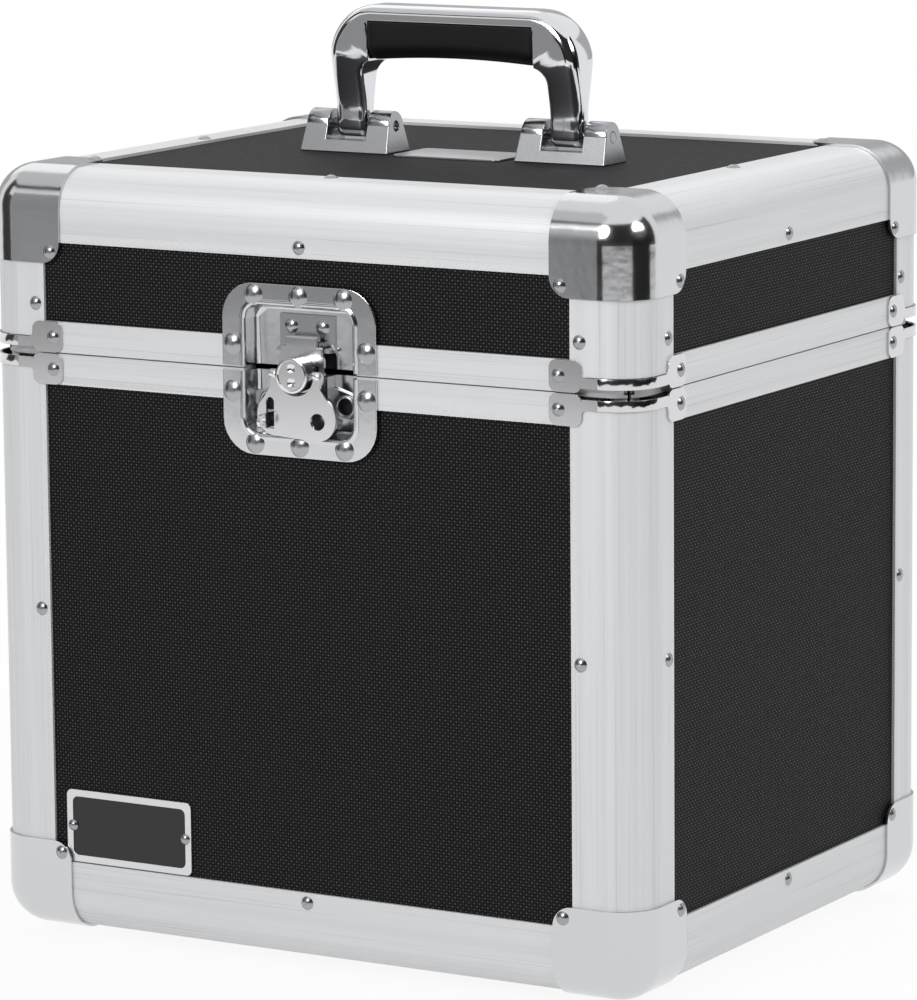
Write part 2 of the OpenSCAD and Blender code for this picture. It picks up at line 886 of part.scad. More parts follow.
// The whole dish, before it is cut in two at the seam
module dish()
    difference() {
        union() {
            front_sheet(flange_out, -seat) translate([0, seam_z]) rounded(dish_w, dish_h, dish_r);
            front_sheet(flange_out, recess_d + dish_t)
                translate([0, seam_z])
                    rounded(recess_w + 2 * dish_t, recess_h + 2 * dish_t, recess_r + dish_t);
            front_sheet(flange_out - bead_h, -seat) translate([0, seam_z])
                rounded(recess_w + 2 * bead_w, recess_h + 2 * bead_w, recess_r + bead_w);
        }
        front_sheet(flange_out - 2 * bead_h, recess_d)
            translate([0, seam_z]) rounded(recess_w, recess_h, recess_r);
    }

module dish_half(up) color(bright)
    difference() {
        intersection() {
            dish();
            translate([-dish_w, front_y - dish_h / 2, seam_z]) mirror([0, 0, 1 - up])
                translate([0, 0, dish_gap / 2]) cube([2 * dish_w, dish_h, dish_h]);
        }
        dish_rivet_places(up) {
            dish_rivet_hole();
            cylinder(d = dish_rivet_d + 2 * seat, h = 2 * bead_h);
        }
        if (up == 0) eyelet_places() eyelet_hole();
        if (up == 1) strike_rivet_places() case_rivet_hole();
    }

module eyelet_places()
    for (side = [-1, 1])
        on_front(base_out) translate([side * eyelet_x, latch_z - eyelet_down, 0]) children();

module eyelet_hole() cylinder(d = eyelet_tube_d + 2 * shank_gap, h = recess_d, center = true);

// A hollow rivet: a rolled rim in front, a tube and a flat rim behind
module eyelet() {
    rim_r = (eyelet_d - eyelet_bore_d) / 4;
    rotate_extrude() {
        intersection() {
            translate([eyelet_bore_d / 2 + rim_r, eyelet_rim - rim_r]) circle(rim_r);
            square([eyelet_d, eyelet_d]);
        }
        translate([eyelet_bore_d / 2, 0]) square([2 * rim_r, eyelet_rim - rim_r]);
        translate([eyelet_bore_d / 2, -eyelet_l])
            square([(eyelet_tube_d - eyelet_bore_d) / 2, eyelet_l + eyelet_rim - rim_r]);
        translate([eyelet_bore_d / 2, -eyelet_l]) square([2 * rim_r, eyelet_back]);
    }
}

// Drawn about the turning axis of the latch
module at_latch() translate([0, latch_z]) children();

// The ears at the two sides of the latch's base plate, which the hollow rivets hold
module base_ears()
    for (side = [0, 1])
        mirror([side, 0])
            polygon([
                [base_w / 2 - rail_t, ear_low],
                [base_w / 2 - rail_t, ear_top],
                [base_w / 2, ear_top],
                [ear_out, ear_fall],
                [ear_out, ear_low + ear_cut],
                [ear_out - ear_cut, ear_low]
            ]);

// The plate on the recess floor with the post's bearing and the hook's two guides
module latch_base() color(metal)
    difference() {
        union() {
            front_sheet(base_out, base_in) {
                translate([-base_w / 2, base_low]) square([base_w, base_high - base_low]);
                at_latch() base_ears();
            }
            front_sheet(base_out, tab_in) at_latch()
                translate([-boss_d / 2, -base_drop]) square([boss_d, base_drop]);
            front_sheet(boss_out, tab_in) at_latch() circle(d = boss_d);
            for (side = [0, 1])
                mirror([side, 0, 0])
                    front_sheet(rail_out, base_in)
                        translate([hook_plate_w / 2 + slide_gap, base_low])
                            square([rail_t, base_high - base_low]);
        }
        on_front(recess_d) translate([0, latch_z, -eps])
            cylinder(d = post_shaft_d + 2 * run_gap, h = recess_d - boss_out + over);
        eyelet_places() eyelet_hole();
    }

// Head, eccentric disc and shaft in one piece
module latch_post() color(bright)
    difference() {
        union() {
            front_sheet(-post_out, post_back) at_latch() circle(d = post_d);
            front_sheet(post_back - eps, cam_in) at_latch() translate([0, -throw]) circle(d = cam_d);
            front_sheet(cam_in - eps, tab_in) at_latch() circle(d = post_shaft_d);
        }
        front_sheet(-post_out - over, -post_out + face_recess) at_latch() circle(d = post_d - 2 * face_rim);
        for (side = [-1, 1])
            front_sheet(-post_out - over, -post_out + 2 * face_recess)
                at_latch() translate([0, side * dimple_up]) circle(d = dimple_d);
        translate([-post_d, front_y + wing_mid, latch_z]) rotate([0, 90, 0])
            cylinder(d = wing_pin_d + run_gap, h = 2 * post_d);
    }

module wing_pin() color(metal)
    translate([-knuckle_out, front_y + wing_mid, latch_z]) rotate([0, 90, 0])
        cylinder(d = wing_pin_d, h = 2 * knuckle_out);

// Outline of the wing about the latch's axis: two lobes below, one arm on each side of the post
module wing_outline()
    difference() {
        union() {
            translate(lobe_right) circle(lobe_right_r);
            translate(lobe_left) circle(lobe_left_r);
            polygon([
                [-knuckle_out, wing_arm_up],
                [-knuckle_out, -wing_arm_down],
                lobe_left + lobe_left_r * [-cos(shoulder), sin(shoulder)],
                [lobe_left[0], lobe_left[1] - lobe_left_r],
                [lobe_right[0], lobe_right[1] - lobe_right_r],
                lobe_right + lobe_right_r * [cos(shoulder), sin(shoulder)],
                [knuckle_out, -wing_arm_down],
                [knuckle_out, wing_arm_up]
            ]);
        }
        circle(post_d / 2 + wing_clear);
        translate([-wing_slot_x - wing_slot_w / 2, wing_slot_low])
            square([wing_slot_w, wing_slot_h - wing_slot_w / 2]);
        translate([-wing_slot_x, wing_slot_low + wing_slot_h - wing_slot_w / 2]) circle(d = wing_slot_w);
        translate([-post_d / 2 - wing_clear, 0]) square([post_d + 2 * wing_clear, post_d]);
    }

module latch_wing() color(bright)
    difference() {
        union() {
            front_sheet(wing_out, wing_in) at_latch() wing_outline();
            for (side = [0, 1])
                mirror([side, 0, 0])
                    translate([post_d / 2 + wing_clear, front_y + wing_mid, latch_z]) rotate([0, 90, 0])
                        cylinder(d = wing_knuckle_d, h = knuckle_out - post_d / 2 - wing_clear);
        }
        translate([-post_d, front_y + wing_mid, latch_z]) rotate([0, 90, 0])
            cylinder(d = wing_pin_d + 2 * run_gap, h = 2 * post_d);
        on_front(wing_in + over) translate([wing_hole[0], latch_z + wing_hole[1], 0])
            cylinder(d = wing_hole_d, h = wing_t + 2 * over);
    }

// A sliding plate with a window for the eccentric, an arm and a claw over the strike's ledge
module latch_hook() color(metal) {
    difference() {
        front_sheet(hook_out, hook_in) at_latch() {
            translate([-hook_plate_w / 2, -hook_drop]) square([hook_plate_w, hook_drop + hook_shoulder]);
            translate([-hook_w / 2, 0]) square([hook_w, claw_top]);
        }
        front_sheet(hook_out - over, hook_in + over) at_latch()
            translate([0, -throw])
                square([cam_d + 2 * throw + 2 * slide_gap, cam_d + 2 * cam_slack], center = true);
    }
    front_sheet(hook_in - eps, claw_in) at_latch()
        translate([-hook_w / 2, claw_top - claw_t]) square([hook_w, claw_t]);
}

// Half-round tabs that stand up at the strike's lower corners
module strike_tabs()
    for (side = [-1, 1])
        translate([side * strike_tab_x, strike_low])
            intersection() {
                circle(strike_tab_r);
                translate([-strike_tab_r, 0]) square(2 * strike_tab_r);
            }

module latch_strike() color(metal)
    difference() {
        union() {
            front_sheet(strike_out, strike_out + strike_t) at_latch()
                translate([-strike_w / 2, strike_low]) square([strike_w, strike_high - strike_low]);
            front_sheet(ledge_out, strike_out + eps) at_latch()
                translate([-ledge_w / 2, ledge_top - ledge_t]) square([ledge_w, ledge_t]);
            front_sheet(strike_tab_out, strike_out + eps) at_latch() strike_tabs();
        }
        strike_rivet_places() case_rivet_hole();
    }

// A foot on the recess floor and an eye that stands up beside the base plate's ear, into the wing's slot
module padlock_staple() color(bright)
    difference() {
        union() {
            front_sheet(base_in - staple_t, base_in) at_latch()
                translate([-staple_x - staple_foot, staple_low])
                    square([staple_foot + staple_t / 2, staple_foot_h]);
            front_sheet(wing_in + clear_gap, base_in) at_latch()
                translate([-staple_x - staple_t / 2, staple_low]) square([staple_t, staple_foot_h]);
            front_sheet(wing_in + clear_gap, base_out - clear_gap) at_latch()
                translate([-staple_x - staple_t / 2, staple_low]) square([staple_t, staple_h]);
        }
        translate([-staple_x, front_y + staple_hole_d / 2 + staple_rim, latch_z + staple_low + staple_h / 2])
            rotate([0, 90, 0]) cylinder(d = staple_hole_d, h = 2 * staple_t, center = true);
    }

module latch_rivet(length) rivet(dish_rivet_d, dish_rivet_h, dish_shank_d, length);

module latch_rivets_lower() color(bright) {
    dish_rivet_places(0) latch_rivet(panel_in - flange_out);
    eyelet_places() eyelet();
}
module latch_rivets_upper() color(bright) {
    dish_rivet_places(1) latch_rivet(panel_in - flange_out);
    strike_rivet_places() rivet(strike_rivet_d, strike_rivet_h, shank_d, recess_d + dish_t - strike_out);
}

// ---------- rivets of the body and the lid ----------

module body_rivets() color(bright) {
    for (right = [0, 1], back = [0, 1])
        at_bottom_corner(right, back) corner_rivet_places() case_rivet(panel_in + seat + corner_t);
    at_seam_corners(0) brace_rivet_places() case_rivet(panel_in + seat + brace_t);
    body_angle_rivet_places() case_rivet(panel_in);
    plate_rivet_places() rivet(plate_rivet_d, rivet_h, shank_d, panel_in - panel_out + seat + plate_t);
    hinge_rivet_places(0) case_rivet(panel_in + seat + leaf_t);
}

module lid_rivets() color(bright) {
    for (right = [0, 1], back = [0, 1])
        at_top_corner(right, back) corner_rivet_places() case_rivet(panel_in + seat + corner_t);
    at_seam_corners(1) brace_rivet_places() case_rivet(panel_in + seat + brace_t);
    lid_angle_rivet_places() case_rivet(panel_in);
    hinge_rivet_places(1) case_rivet(panel_in + seat + leaf_t);
}

// ---------- hinges ----------

module at_hinges()
    for (side = [-1, 1]) translate([side * hinge_x - hinge_w / 2, hinge_y, hinge_z]) children();

// A leaf with the knuckles whose number is even for first = 0 and odd for first = 1
module hinge_leaf(first) {
    step = hinge_w / knuckles;
    difference() {
        union() {
            for (k = [first:2:knuckles - 1]) {
                translate([k * step + knuckle_gap / 2, 0, 0]) rotate([0, 90, 0])
                    cylinder(d = knuckle_d, h = step - knuckle_gap);
                translate([k * step + knuckle_gap / 2, leaf_y, 0])
                    cube([step - knuckle_gap, leaf_t, leaf_gap + over]);
            }
            translate([0, leaf_y, leaf_gap]) cube([hinge_w, leaf_t, leaf_h - leaf_gap]);
        }
        translate([-over, 0, 0]) rotate([0, 90, 0])
            cylinder(d = hinge_pin_d + 2 * run_gap, h = hinge_w + 2 * over);
    }
}

module hinge_leaves_lower() color(metal)
    difference() {
        at_hinges() mirror([0, 0, 1]) hinge_leaf(0);
        hinge_rivet_places(0) case_rivet_hole();
    }

module hinge_leaves_upper() color(metal)
    difference() {
        at_hinges() hinge_leaf(1);
        hinge_rivet_places(1) case_rivet_hole();
    }

module hinge_pins() color(metal) at_hinges() rotate([0, 90, 0]) cylinder(d = hinge_pin_d, h = hinge_w);

// ---------- handle ----------

module in_brackets() for (side = [-1, 1]) translate([side * leg_x, 0, 0]) children();

// Side view of a bracket: X is the depth, Y the height above the lid's panel
module bracket_side() {
    ear = bracket_top_d / 2;
    polygon([
        [-bracket_d / 2, seat],
        [bracket_d / 2, seat],
        [ear, bracket_h - ear],
        [-ear, bracket_h - ear]
    ]);
    translate([0, bracket_h - ear]) circle(ear);
}

module handle_bracket()
    difference() {
        translate([-bracket_w / 2, 0, lid_face]) cycle() linear_extrude(bracket_w) bracket_side();
        translate([-notch_w / 2, -bracket_d, lid_face + notch_floor])
            cube([notch_w, 2 * bracket_d, bracket_h]);
        translate([-bracket_w, 0, pin_z]) rotate([0, 90, 0])
            cylinder(d = handle_pin_d + 2 * run_gap, h = 2 * bracket_w);
        for (side = [0, 1])
            mirror([side, 0, 0])
                translate([bracket_w / 2, -bracket_d, lid_face]) rotate([0, -bracket_lean, 0])
                cube([bracket_d, 2 * bracket_d, 2 * bracket_h]);
    }

module handle_brackets() color(bright) in_brackets() handle_bracket();

module handle_pins() color(metal)
    in_brackets() translate([-handle_pin_l / 2, 0, pin_z]) rotate([0, 90, 0])
        cylinder(d = handle_pin_d, h = handle_pin_l);

// Front view of the bail, without the round ends of its legs
module bail_outline()
    difference() {
        union() {
            translate([-bail_w / 2, pin_z]) square([bail_w, bail_top - bail_r - pin_z]);
            translate([-bail_w / 2 + bail_r, bail_top - 2 * bail_r])
                square([bail_w - 2 * bail_r, 2 * bail_r]);
            for (side = [-1, 1])
                translate([side * (bail_w / 2 - bail_r), bail_top - bail_r]) circle(bail_r);
        }
        translate([-window_w / 2, 0]) square([window_w, grip_low - window_r]);
        translate([-window_w / 2 + window_r, 0]) square([window_w - 2 * window_r, grip_low]);
        for (side = [-1, 1])
            translate([side * (window_w / 2 - window_r), grip_low - window_r]) circle(window_r);
        translate([-grip_w / 2, grip_low - window_r]) square([grip_w, bar_under - grip_low + window_r]);
    }

// Side view of the bail, which grows deeper from the legs up to the grip
module bail_side() {
    polygon([
        [-leg_d / 2, pin_z],
        [leg_d / 2, pin_z],
        [leg_d / 2, pin_z + taper_foot],
        [bail_d / 2, grip_low],
        [bail_d / 2, bail_top - bail_edge_r],
        [-bail_d / 2, bail_top - bail_edge_r],
        [-bail_d / 2, grip_low],
        [-leg_d / 2, pin_z + taper_foot]
    ]);
    translate([bail_edge_r - bail_d / 2, bail_top - 2 * bail_edge_r])
        square([bail_d - 2 * bail_edge_r, 2 * bail_edge_r]);
    for (side = [-1, 1])
        translate([side * (bail_d / 2 - bail_edge_r), bail_top - bail_edge_r]) circle(bail_edge_r);
}

module handle_bail() color(bright)
    difference() {
        union() {
            intersection() {
                translate([0, bail_d, 0]) rotate([90, 0, 0]) linear_extrude(2 * bail_d) bail_outline();
                translate([-bail_w, 0, 0]) cycle() linear_extrude(2 * bail_w) bail_side();
            }
            in_brackets()
                translate([-leg_w / 2, 0, pin_z]) rotate([0, 90, 0]) cylinder(d = leg_d, h = leg_w);
        }
        translate([-bail_w, 0, pin_z]) rotate([0, 90, 0])
            cylinder(d = handle_pin_d + 2 * run_gap, h = 2 * bail_w);
    }

// Flat on top and rounded below
module grip_section(h) {
    translate([-grip_d / 2, grip_r - h / 2]) square([grip_d, h - grip_r]);
    translate([grip_r - grip_d / 2, -h / 2]) square([grip_d - 2 * grip_r, h]);
    for (side = [-1, 1])
        translate([side * (grip_d / 2 - grip_r), grip_r - h / 2]) circle(grip_r);
}

// A bar with a rounded underside that rises in the middle
module handle_grip() color(rubber)
    difference() {
        translate([-grip_w / 2 + grip_seat, 0, (grip_low + bar_under) / 2]) cycle()
            linear_extrude(grip_w - 2 * grip_seat) grip_section(grip_h - 2 * grip_seat);
        translate([0, grip_d, grip_low + grip_arch - arch_r]) rotate([90, 0, 0])
            cylinder(r = arch_r, h = 2 * grip_d, $fn = 256);
    }

// ---------- lining ----------

module floor_pad_shape()
    cube([case_w - 2 * pad_out, case_d - 2 * pad_out, foam_t]);

module wall_pads(low, high) {
    for (back = [0, 1])
        mirror([0, back, 0]) translate([-half_w + pad_out, -half_d + pad_out, low])
            cube([case_w - 2 * pad_out, foam_t, high - low]);
    for (right = [0, 1])
        mirror([right, 0, 0]) translate([-half_w + pad_out, -half_d + pad_in + pad_gap, low])
            cube([foam_t, case_d - 2 * (pad_in + pad_gap), high - low]);
}

module at_pad_corner(z) translate([-half_w + pad_out, -half_d + pad_out, z]) children();

module body_floor_pad() color(foam) at_pad_corner(base_z + pad_out) floor_pad_shape();
module lid_top_pad() color(foam) at_pad_corner(top_z - pad_in) floor_pad_shape();
module body_wall_pads() color(foam) wall_pads(base_z + pad_in + pad_gap, seam_z - pad_back);
module lid_wall_pads() color(foam) wall_pads(seam_z + pad_back, top_z - pad_in - pad_gap);

// ---------- feet and plates ----------

module rubber_feet() color(rubber)
    foot_places()
        difference() {
            cylinder(d1 = foot_d, d2 = foot_d + foot_flare, h = base_z + panel_out - seat);
            translate([0, 0, -eps]) cylinder(d = screw_head_d + 2 * screw_head_gap, h = screw_up + eps);
            cylinder(d = screw_d + 2 * shank_gap, h = cut_through);
        }

module foot_screws() color(metal)
    foot_places() translate([0, 0, screw_up - screw_head_h]) {
        cylinder(d = screw_head_d, h = screw_head_h);
        cylinder(d = screw_d, h = base_z + panel_in - screw_up + screw_head_h);
    }

// A bare plate with a raised border and round corners
module front_nameplate() color(bright)
    on_front(panel_out - seat)
        translate([-half_w + plate_left + plate_w / 2, base_z + plate_low + plate_h / 2, 0])
            difference() {
                linear_extrude(plate_t) rounded(plate_w, plate_h, plate_r);
                translate([0, 0, plate_t - plate_sink])
                    linear_extrude(plate_t)
                        rounded(plate_w - 2 * plate_border, plate_h - 2 * plate_border, plate_r);
                for (side = [-1, 1])
                    translate([side * (plate_w / 2 - plate_rivet_in), 0, 0]) case_rivet_hole();
            }

module top_nameplate() color(metal)
    translate([0, 0, lid_face + seat]) linear_extrude(plate_t) rounded(top_plate_w, top_plate_d, plate_r);

// ---------- assembly ----------

floor_panel();
front_panel();
back_panel();
side_panel(0);  // left_panel
side_panel(1);  // right_panel
corner_angle(0, 0);  // corner_angle_front_left
corner_angle(1, 0);  // corner_angle_front_right
corner_angle(0, 1);  // corner_angle_back_left
corner_angle(1, 1);  // corner_angle_back_right
bottom_angle_x(0);  // bottom_angle_front
bottom_angle_x(1);  // bottom_angle_back
bottom_angle_y(0);  // bottom_angle_left
bottom_angle_y(1);  // bottom_angle_right
body_rim();
at_bottom_corner(0, 0) ball_corner();  // bottom_corner_front_left
at_bottom_corner(1, 0) ball_corner();  // bottom_corner_front_right
at_bottom_corner(0, 1) ball_corner();  // bottom_corner_back_left
at_bottom_corner(1, 1) ball_corner();  // bottom_corner_back_right
body_rim_braces();
body_rivets();
body_floor_pad();
body_wall_pads();
rubber_feet();
foot_screws();
front_nameplate();
dish_half(0);  // latch_dish_lower
latch_rivets_lower();
latch_base();
padlock_staple();
latch_post();
wing_pin();
latch_wing();
latch_hook();
hinge_leaves_lower();
hinge_pins();
top_panel();
lid_front_panel();
lid_back_panel();
lid_side_panel(0);  // lid_left_panel
lid_side_panel(1);  // lid_right_panel
lid_corner_angles();
top_edge_angles();
lid_rim();
at_top_corner(0, 0) ball_corner();  // top_corner_front_left
at_top_corner(1, 0) ball_corner();  // top_corner_front_right
at_top_corner(0, 1) ball_corner();  // top_corner_back_left
at_top_corner(1, 1) ball_corner();  // top_corner_back_right
lid_rim_braces();
lid_rivets();
lid_top_pad();
lid_wall_pads();
top_nameplate();
handle_brackets();
handle_pins();
handle_bail();
handle_grip();
dish_half(1);  // latch_dish_upper
latch_rivets_upper();
latch_strike();
hinge_leaves_upper();
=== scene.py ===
"""Looks of the record carrying case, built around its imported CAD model. Metres, X right, -Y front, Z up."""

import json
import math

import bmesh
import bpy
from mathutils import Matrix, Vector


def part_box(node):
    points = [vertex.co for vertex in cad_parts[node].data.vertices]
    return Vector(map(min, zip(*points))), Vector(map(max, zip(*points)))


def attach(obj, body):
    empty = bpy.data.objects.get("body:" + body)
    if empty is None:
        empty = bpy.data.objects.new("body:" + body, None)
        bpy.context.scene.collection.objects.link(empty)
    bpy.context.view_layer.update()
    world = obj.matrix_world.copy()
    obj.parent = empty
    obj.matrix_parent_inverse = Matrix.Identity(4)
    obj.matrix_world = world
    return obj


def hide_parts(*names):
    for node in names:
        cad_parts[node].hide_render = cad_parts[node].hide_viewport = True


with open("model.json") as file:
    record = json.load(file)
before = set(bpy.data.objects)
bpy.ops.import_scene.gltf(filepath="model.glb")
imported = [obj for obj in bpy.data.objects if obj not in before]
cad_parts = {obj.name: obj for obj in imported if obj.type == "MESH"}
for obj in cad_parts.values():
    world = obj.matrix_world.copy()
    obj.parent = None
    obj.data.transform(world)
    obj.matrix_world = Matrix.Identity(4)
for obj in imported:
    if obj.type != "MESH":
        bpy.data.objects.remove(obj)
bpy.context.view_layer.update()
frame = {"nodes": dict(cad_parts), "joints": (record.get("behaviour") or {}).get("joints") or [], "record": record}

MM = 0.001

# ---------------------------------------------------------------- places taken from the frame

TOP_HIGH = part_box("top_edge_angles")[1]
HALF_W = TOP_HIGH.x
HALF_D = TOP_HIGH.y
LID_TOP = TOP_HIGH.z
JOINT_AT = {joint["name"]: Vector(joint.get("pos_m") or (0, 0, 0)) for joint in frame["joints"]}
SEAM_Z = JOINT_AT["lid_hinge"].z
LATCH_Z = JOINT_AT["latch_turn"].z
PIN_Z = JOINT_AT["handle_fold"].z
FRONT_Y = -HALF_D


# ---------------------------------------------------------------- colours and nodes

def hex_colour(text):
    """A #rrggbb sRGB colour as the linear RGBA that Blender's sockets take."""
    channels = [int(text[i:i + 2], 16) / 255 for i in (1, 3, 5)]
    linear = [c / 12.92 if c <= 0.04045 else ((c + 0.055) / 1.055) ** 2.4 for c in channels]
    return (*linear, 1.0)


def add(tree, kind, inputs=None, **settings):
    """Adds a node with its settings and links, and returns its outputs. Each input is a value or the output
    that is linked to it."""
    made = tree.nodes.new(kind)
    for name, value in settings.items():
        setattr(made, name, value)
    for key, value in (inputs or {}).items():
        if isinstance(value, bpy.types.NodeSocket):
            tree.links.new(value, made.inputs[key])
        else:
            made.inputs[key].default_value = value
    return made.outputs


def new_material(name, **sockets):
    """A material with one Principled shader, whose plain sockets are set here."""
    made = bpy.data.materials.new(name)
    made.use_nodes = True
    shader = made.node_tree.nodes["Principled BSDF"]
    for key, value in sockets.items():
        shader.inputs[key.replace("_", " ")].default_value = value
    return made, made.node_tree, shader


def dress(tree, shader, colour=None, roughness=None, relief=None):
    """Gives a shader its varying looks. Colour and roughness are each a share with what it stands for at
    0 and at 1. Relief is a height from 0 to 1 with its real depth in mm and the strength of its slopes."""
    if colour:
        share, low, high = colour
        mixed = add(tree, "ShaderNodeMix", {
            "Factor": share, "A": hex_colour(low), "B": hex_colour(high)}, data_type="RGBA")["Result"]
        tree.links.new(mixed, shader.inputs["Base Color"])
    if roughness:
        share, low, high = roughness
        dullness = add(tree, "ShaderNodeMapRange", {"Value": share, "To Min": low, "To Max": high})["Result"]
        tree.links.new(dullness, shader.inputs["Roughness"])
    if relief:
        height, depth_mm, strength = relief
        raised = add(tree, "ShaderNodeBump", {
            "Height": height, "Distance": depth_mm * MM, "Strength": strength})["Normal"]
        tree.links.new(raised, shader.inputs["Normal"])


# ---------------------------------------------------------------- materials

LAMINATE_PITCH = 1.485    # mm between dots, in a row and between rows
LAMINATE_DOT = 0.62       # mm, radius of a dot
LAMINATE_DOT_TOP = 0.15   # share of that radius that is flat on top
LAMINATE_LOW_DOT = 0.22   # share of the tone and polish that every second dot has
LAMINATE_DOT_RISE = 0.1   # mm
STREAKS_PER_MM = 1.1      # die lines across an extrusion
BANDS_PER_MM = 0.176      # broader ones among them
STREAK_DEPTH = 0.02       # mm
ALONG_THE_BAR = 0.004     # the die lines hardly change along the bar
SMUDGES_PER_METRE = 35.0
RIPPLES_PER_METRE = 120.0
GRAINS_PER_METRE = 1800.0
FOAM_CELLS_PER_METRE = 1600.0
FOAM_PORE = 0.25          # mm, depth of a pore
PLATE_BORDER = 3.4 * MM
PLATE_FIELD_DEPTH = 0.2 * MM      # what lies deeper than this is enamelled


def black_laminate():
    """ABS-faced laminate pressed against an embossed roll: near black, with rows of low dots, every second
    one fainter. The dots are polished by handling and the ground between them is dull. The dots are also
    painted lighter than the ground: a painted sheen."""
    made, tree, shader = new_material(
        "black_embossed_laminate", Roughness=0.5, IOR=1.5, Specular_IOR_Level=0.155)
    place = add(tree, "ShaderNodeTexCoord")["Object"]
    axes = add(tree, "ShaderNodeSeparateXYZ", {0: place})
    facing = add(tree, "ShaderNodeSeparateXYZ", {0: add(tree, "ShaderNodeNewGeometry")["True Normal"]})
    along = []
    for axis in "XZ":      # a face that looks along this axis has Y in its place
        looks = add(tree, "ShaderNodeMath", {0: facing[axis]}, operation="ABSOLUTE")[0]
        turned = add(tree, "ShaderNodeMath", {0: looks, 1: 0.5}, operation="GREATER_THAN")[0]
        along.append(add(tree, "ShaderNodeMix", {
            "Factor": turned, "A": axes[axis], "B": axes["Y"]})["Result"])
    flat = add(tree, "ShaderNodeCombineXYZ", {"X": along[0], "Y": along[1]})[0]
    pitch = LAMINATE_PITCH * MM
    count = add(tree, "ShaderNodeVectorMath", {0: flat, 1: (pitch, pitch, 1.0)}, operation="DIVIDE")[0]
    cell = add(tree, "ShaderNodeVectorMath", {0: count}, operation="FLOOR")[0]
    number = add(tree, "ShaderNodeVectorMath", {
        0: cell, 1: (1.0, 1.0, 0.0)}, operation="DOT_PRODUCT")["Value"]
    odd = add(tree, "ShaderNodeMath", {0: number, 1: 2.0}, operation="FLOORED_MODULO")[0]
    within = add(tree, "ShaderNodeVectorMath", {0: count}, operation="FRACTION")[0]
    off = add(tree, "ShaderNodeVectorMath", {0: within, 1: (0.5, 0.5, 0.0)}, operation="SUBTRACT")[0]
    reach = add(tree, "ShaderNodeVectorMath", {0: off}, operation="LENGTH")["Value"]
    radius = LAMINATE_DOT / LAMINATE_PITCH
    dot = add(tree, "ShaderNodeMapRange", {
        "Value": reach, "From Min": radius * LAMINATE_DOT_TOP, "From Max": radius,
        "To Min": 1.0, "To Max": 0.0}, interpolation_type="SMOOTHSTEP")["Result"]
    # Noise that varies the polish and the painted sheen of the dots from place to place.
    wear_and_sheen = add(tree, "ShaderNodeTexNoise", {"Vector": place, "Scale": 400.0, "Detail": 3.0})["Fac"]
    tone = dot
    for share, least, most in ((odd, LAMINATE_LOW_DOT, 1.0), (wear_and_sheen, 0.2, 1.4)):
        factor = add(tree, "ShaderNodeMapRange", {"Value": share, "To Min": least, "To Max": most})["Result"]
        tone = add(tree, "ShaderNodeMath", {0: tone, 1: factor}, operation="MULTIPLY")[0]
    # The lighter colour of the dots is a painted sheen; the ground keeps the laminate's own near black.
    dress(tree, shader, colour=(tone, "#040405", "#565659"), roughness=(tone, 0.66, 0.28),
          relief=(dot, LAMINATE_DOT_RISE, 1.0))
    return made


def satin_aluminium(name, upright):
    """Extruded aluminium, matt anodised: pale, even and satin, with faint die lines along its length."""
    made, tree, shader = new_material(name, Metallic=0.5, Roughness=0.55)
    place = add(tree, "ShaderNodeTexCoord")["Object"]
    if upright:
        drawn = (1.0, 1.0, ALONG_THE_BAR)
    else:
        out = add(tree, "ShaderNodeVectorMath", {0: place}, operation="ABSOLUTE")[0]
        short = add(tree, "ShaderNodeVectorMath", {
            0: (HALF_W, HALF_D, 0.0), 1: out}, operation="SUBTRACT")[0]
        to_edge = add(tree, "ShaderNodeSeparateXYZ", {0: short})
        on_side = add(tree, "ShaderNodeMath", {0: to_edge["X"], 1: to_edge["Y"]}, operation="LESS_THAN")[0]
        drawn = add(tree, "ShaderNodeMix", {
            "Factor": on_side, "A": (ALONG_THE_BAR, 1.0, 1.0), "B": (1.0, ALONG_THE_BAR, 1.0)},
            data_type="VECTOR")["Result"]
    lines = add(tree, "ShaderNodeVectorMath", {0: place, 1: drawn}, operation="MULTIPLY")[0]
    fine = add(tree, "ShaderNodeTexNoise", {
        "Vector": lines, "Scale": STREAKS_PER_MM * 1000, "Detail": 4.0, "Roughness": 0.65})["Fac"]
    broad = add(tree, "ShaderNodeTexNoise", {
        "Vector": lines, "Scale": BANDS_PER_MM * 1000, "Detail": 2.0})["Fac"]
    scored = add(tree, "ShaderNodeMapRange", {"Value": fine, "From Min": 0.34, "From Max": 0.44})["Result"]
    both = add(tree, "ShaderNodeMix", {"Factor": 0.6, "A": scored, "B": broad})["Result"]
    dress(tree, shader, colour=(both, "#c0c1c3", "#e4e5e6"), roughness=(broad, 0.52, 0.6),
          relief=(both, STREAK_DEPTH, 0.6))
    return made


def plated(name, colour, roughness, spread=0.04, ripple_mm=0.0):
    """Chrome or nickel plate over pressed steel: a clear reflection, softened by handling and by the
    slight waviness of the pressing."""
    made, tree, shader = new_material(name, Metallic=1.0, Base_Color=hex_colour(colour))
    place = add(tree, "ShaderNodeTexCoord")["Object"]
    smudge = add(tree, "ShaderNodeTexNoise", {
        "Vector": place, "Scale": SMUDGES_PER_METRE, "Detail": 4.0})["Fac"]
    dress(tree, shader, roughness=(smudge, roughness - spread, roughness + spread))
    if ripple_mm:
        wave = add(tree, "ShaderNodeTexNoise", {
            "Vector": place, "Scale": RIPPLES_PER_METRE, "Detail": 2.0})["Fac"]
        dress(tree, shader, relief=(wave, ripple_mm, 1.0))
    return made


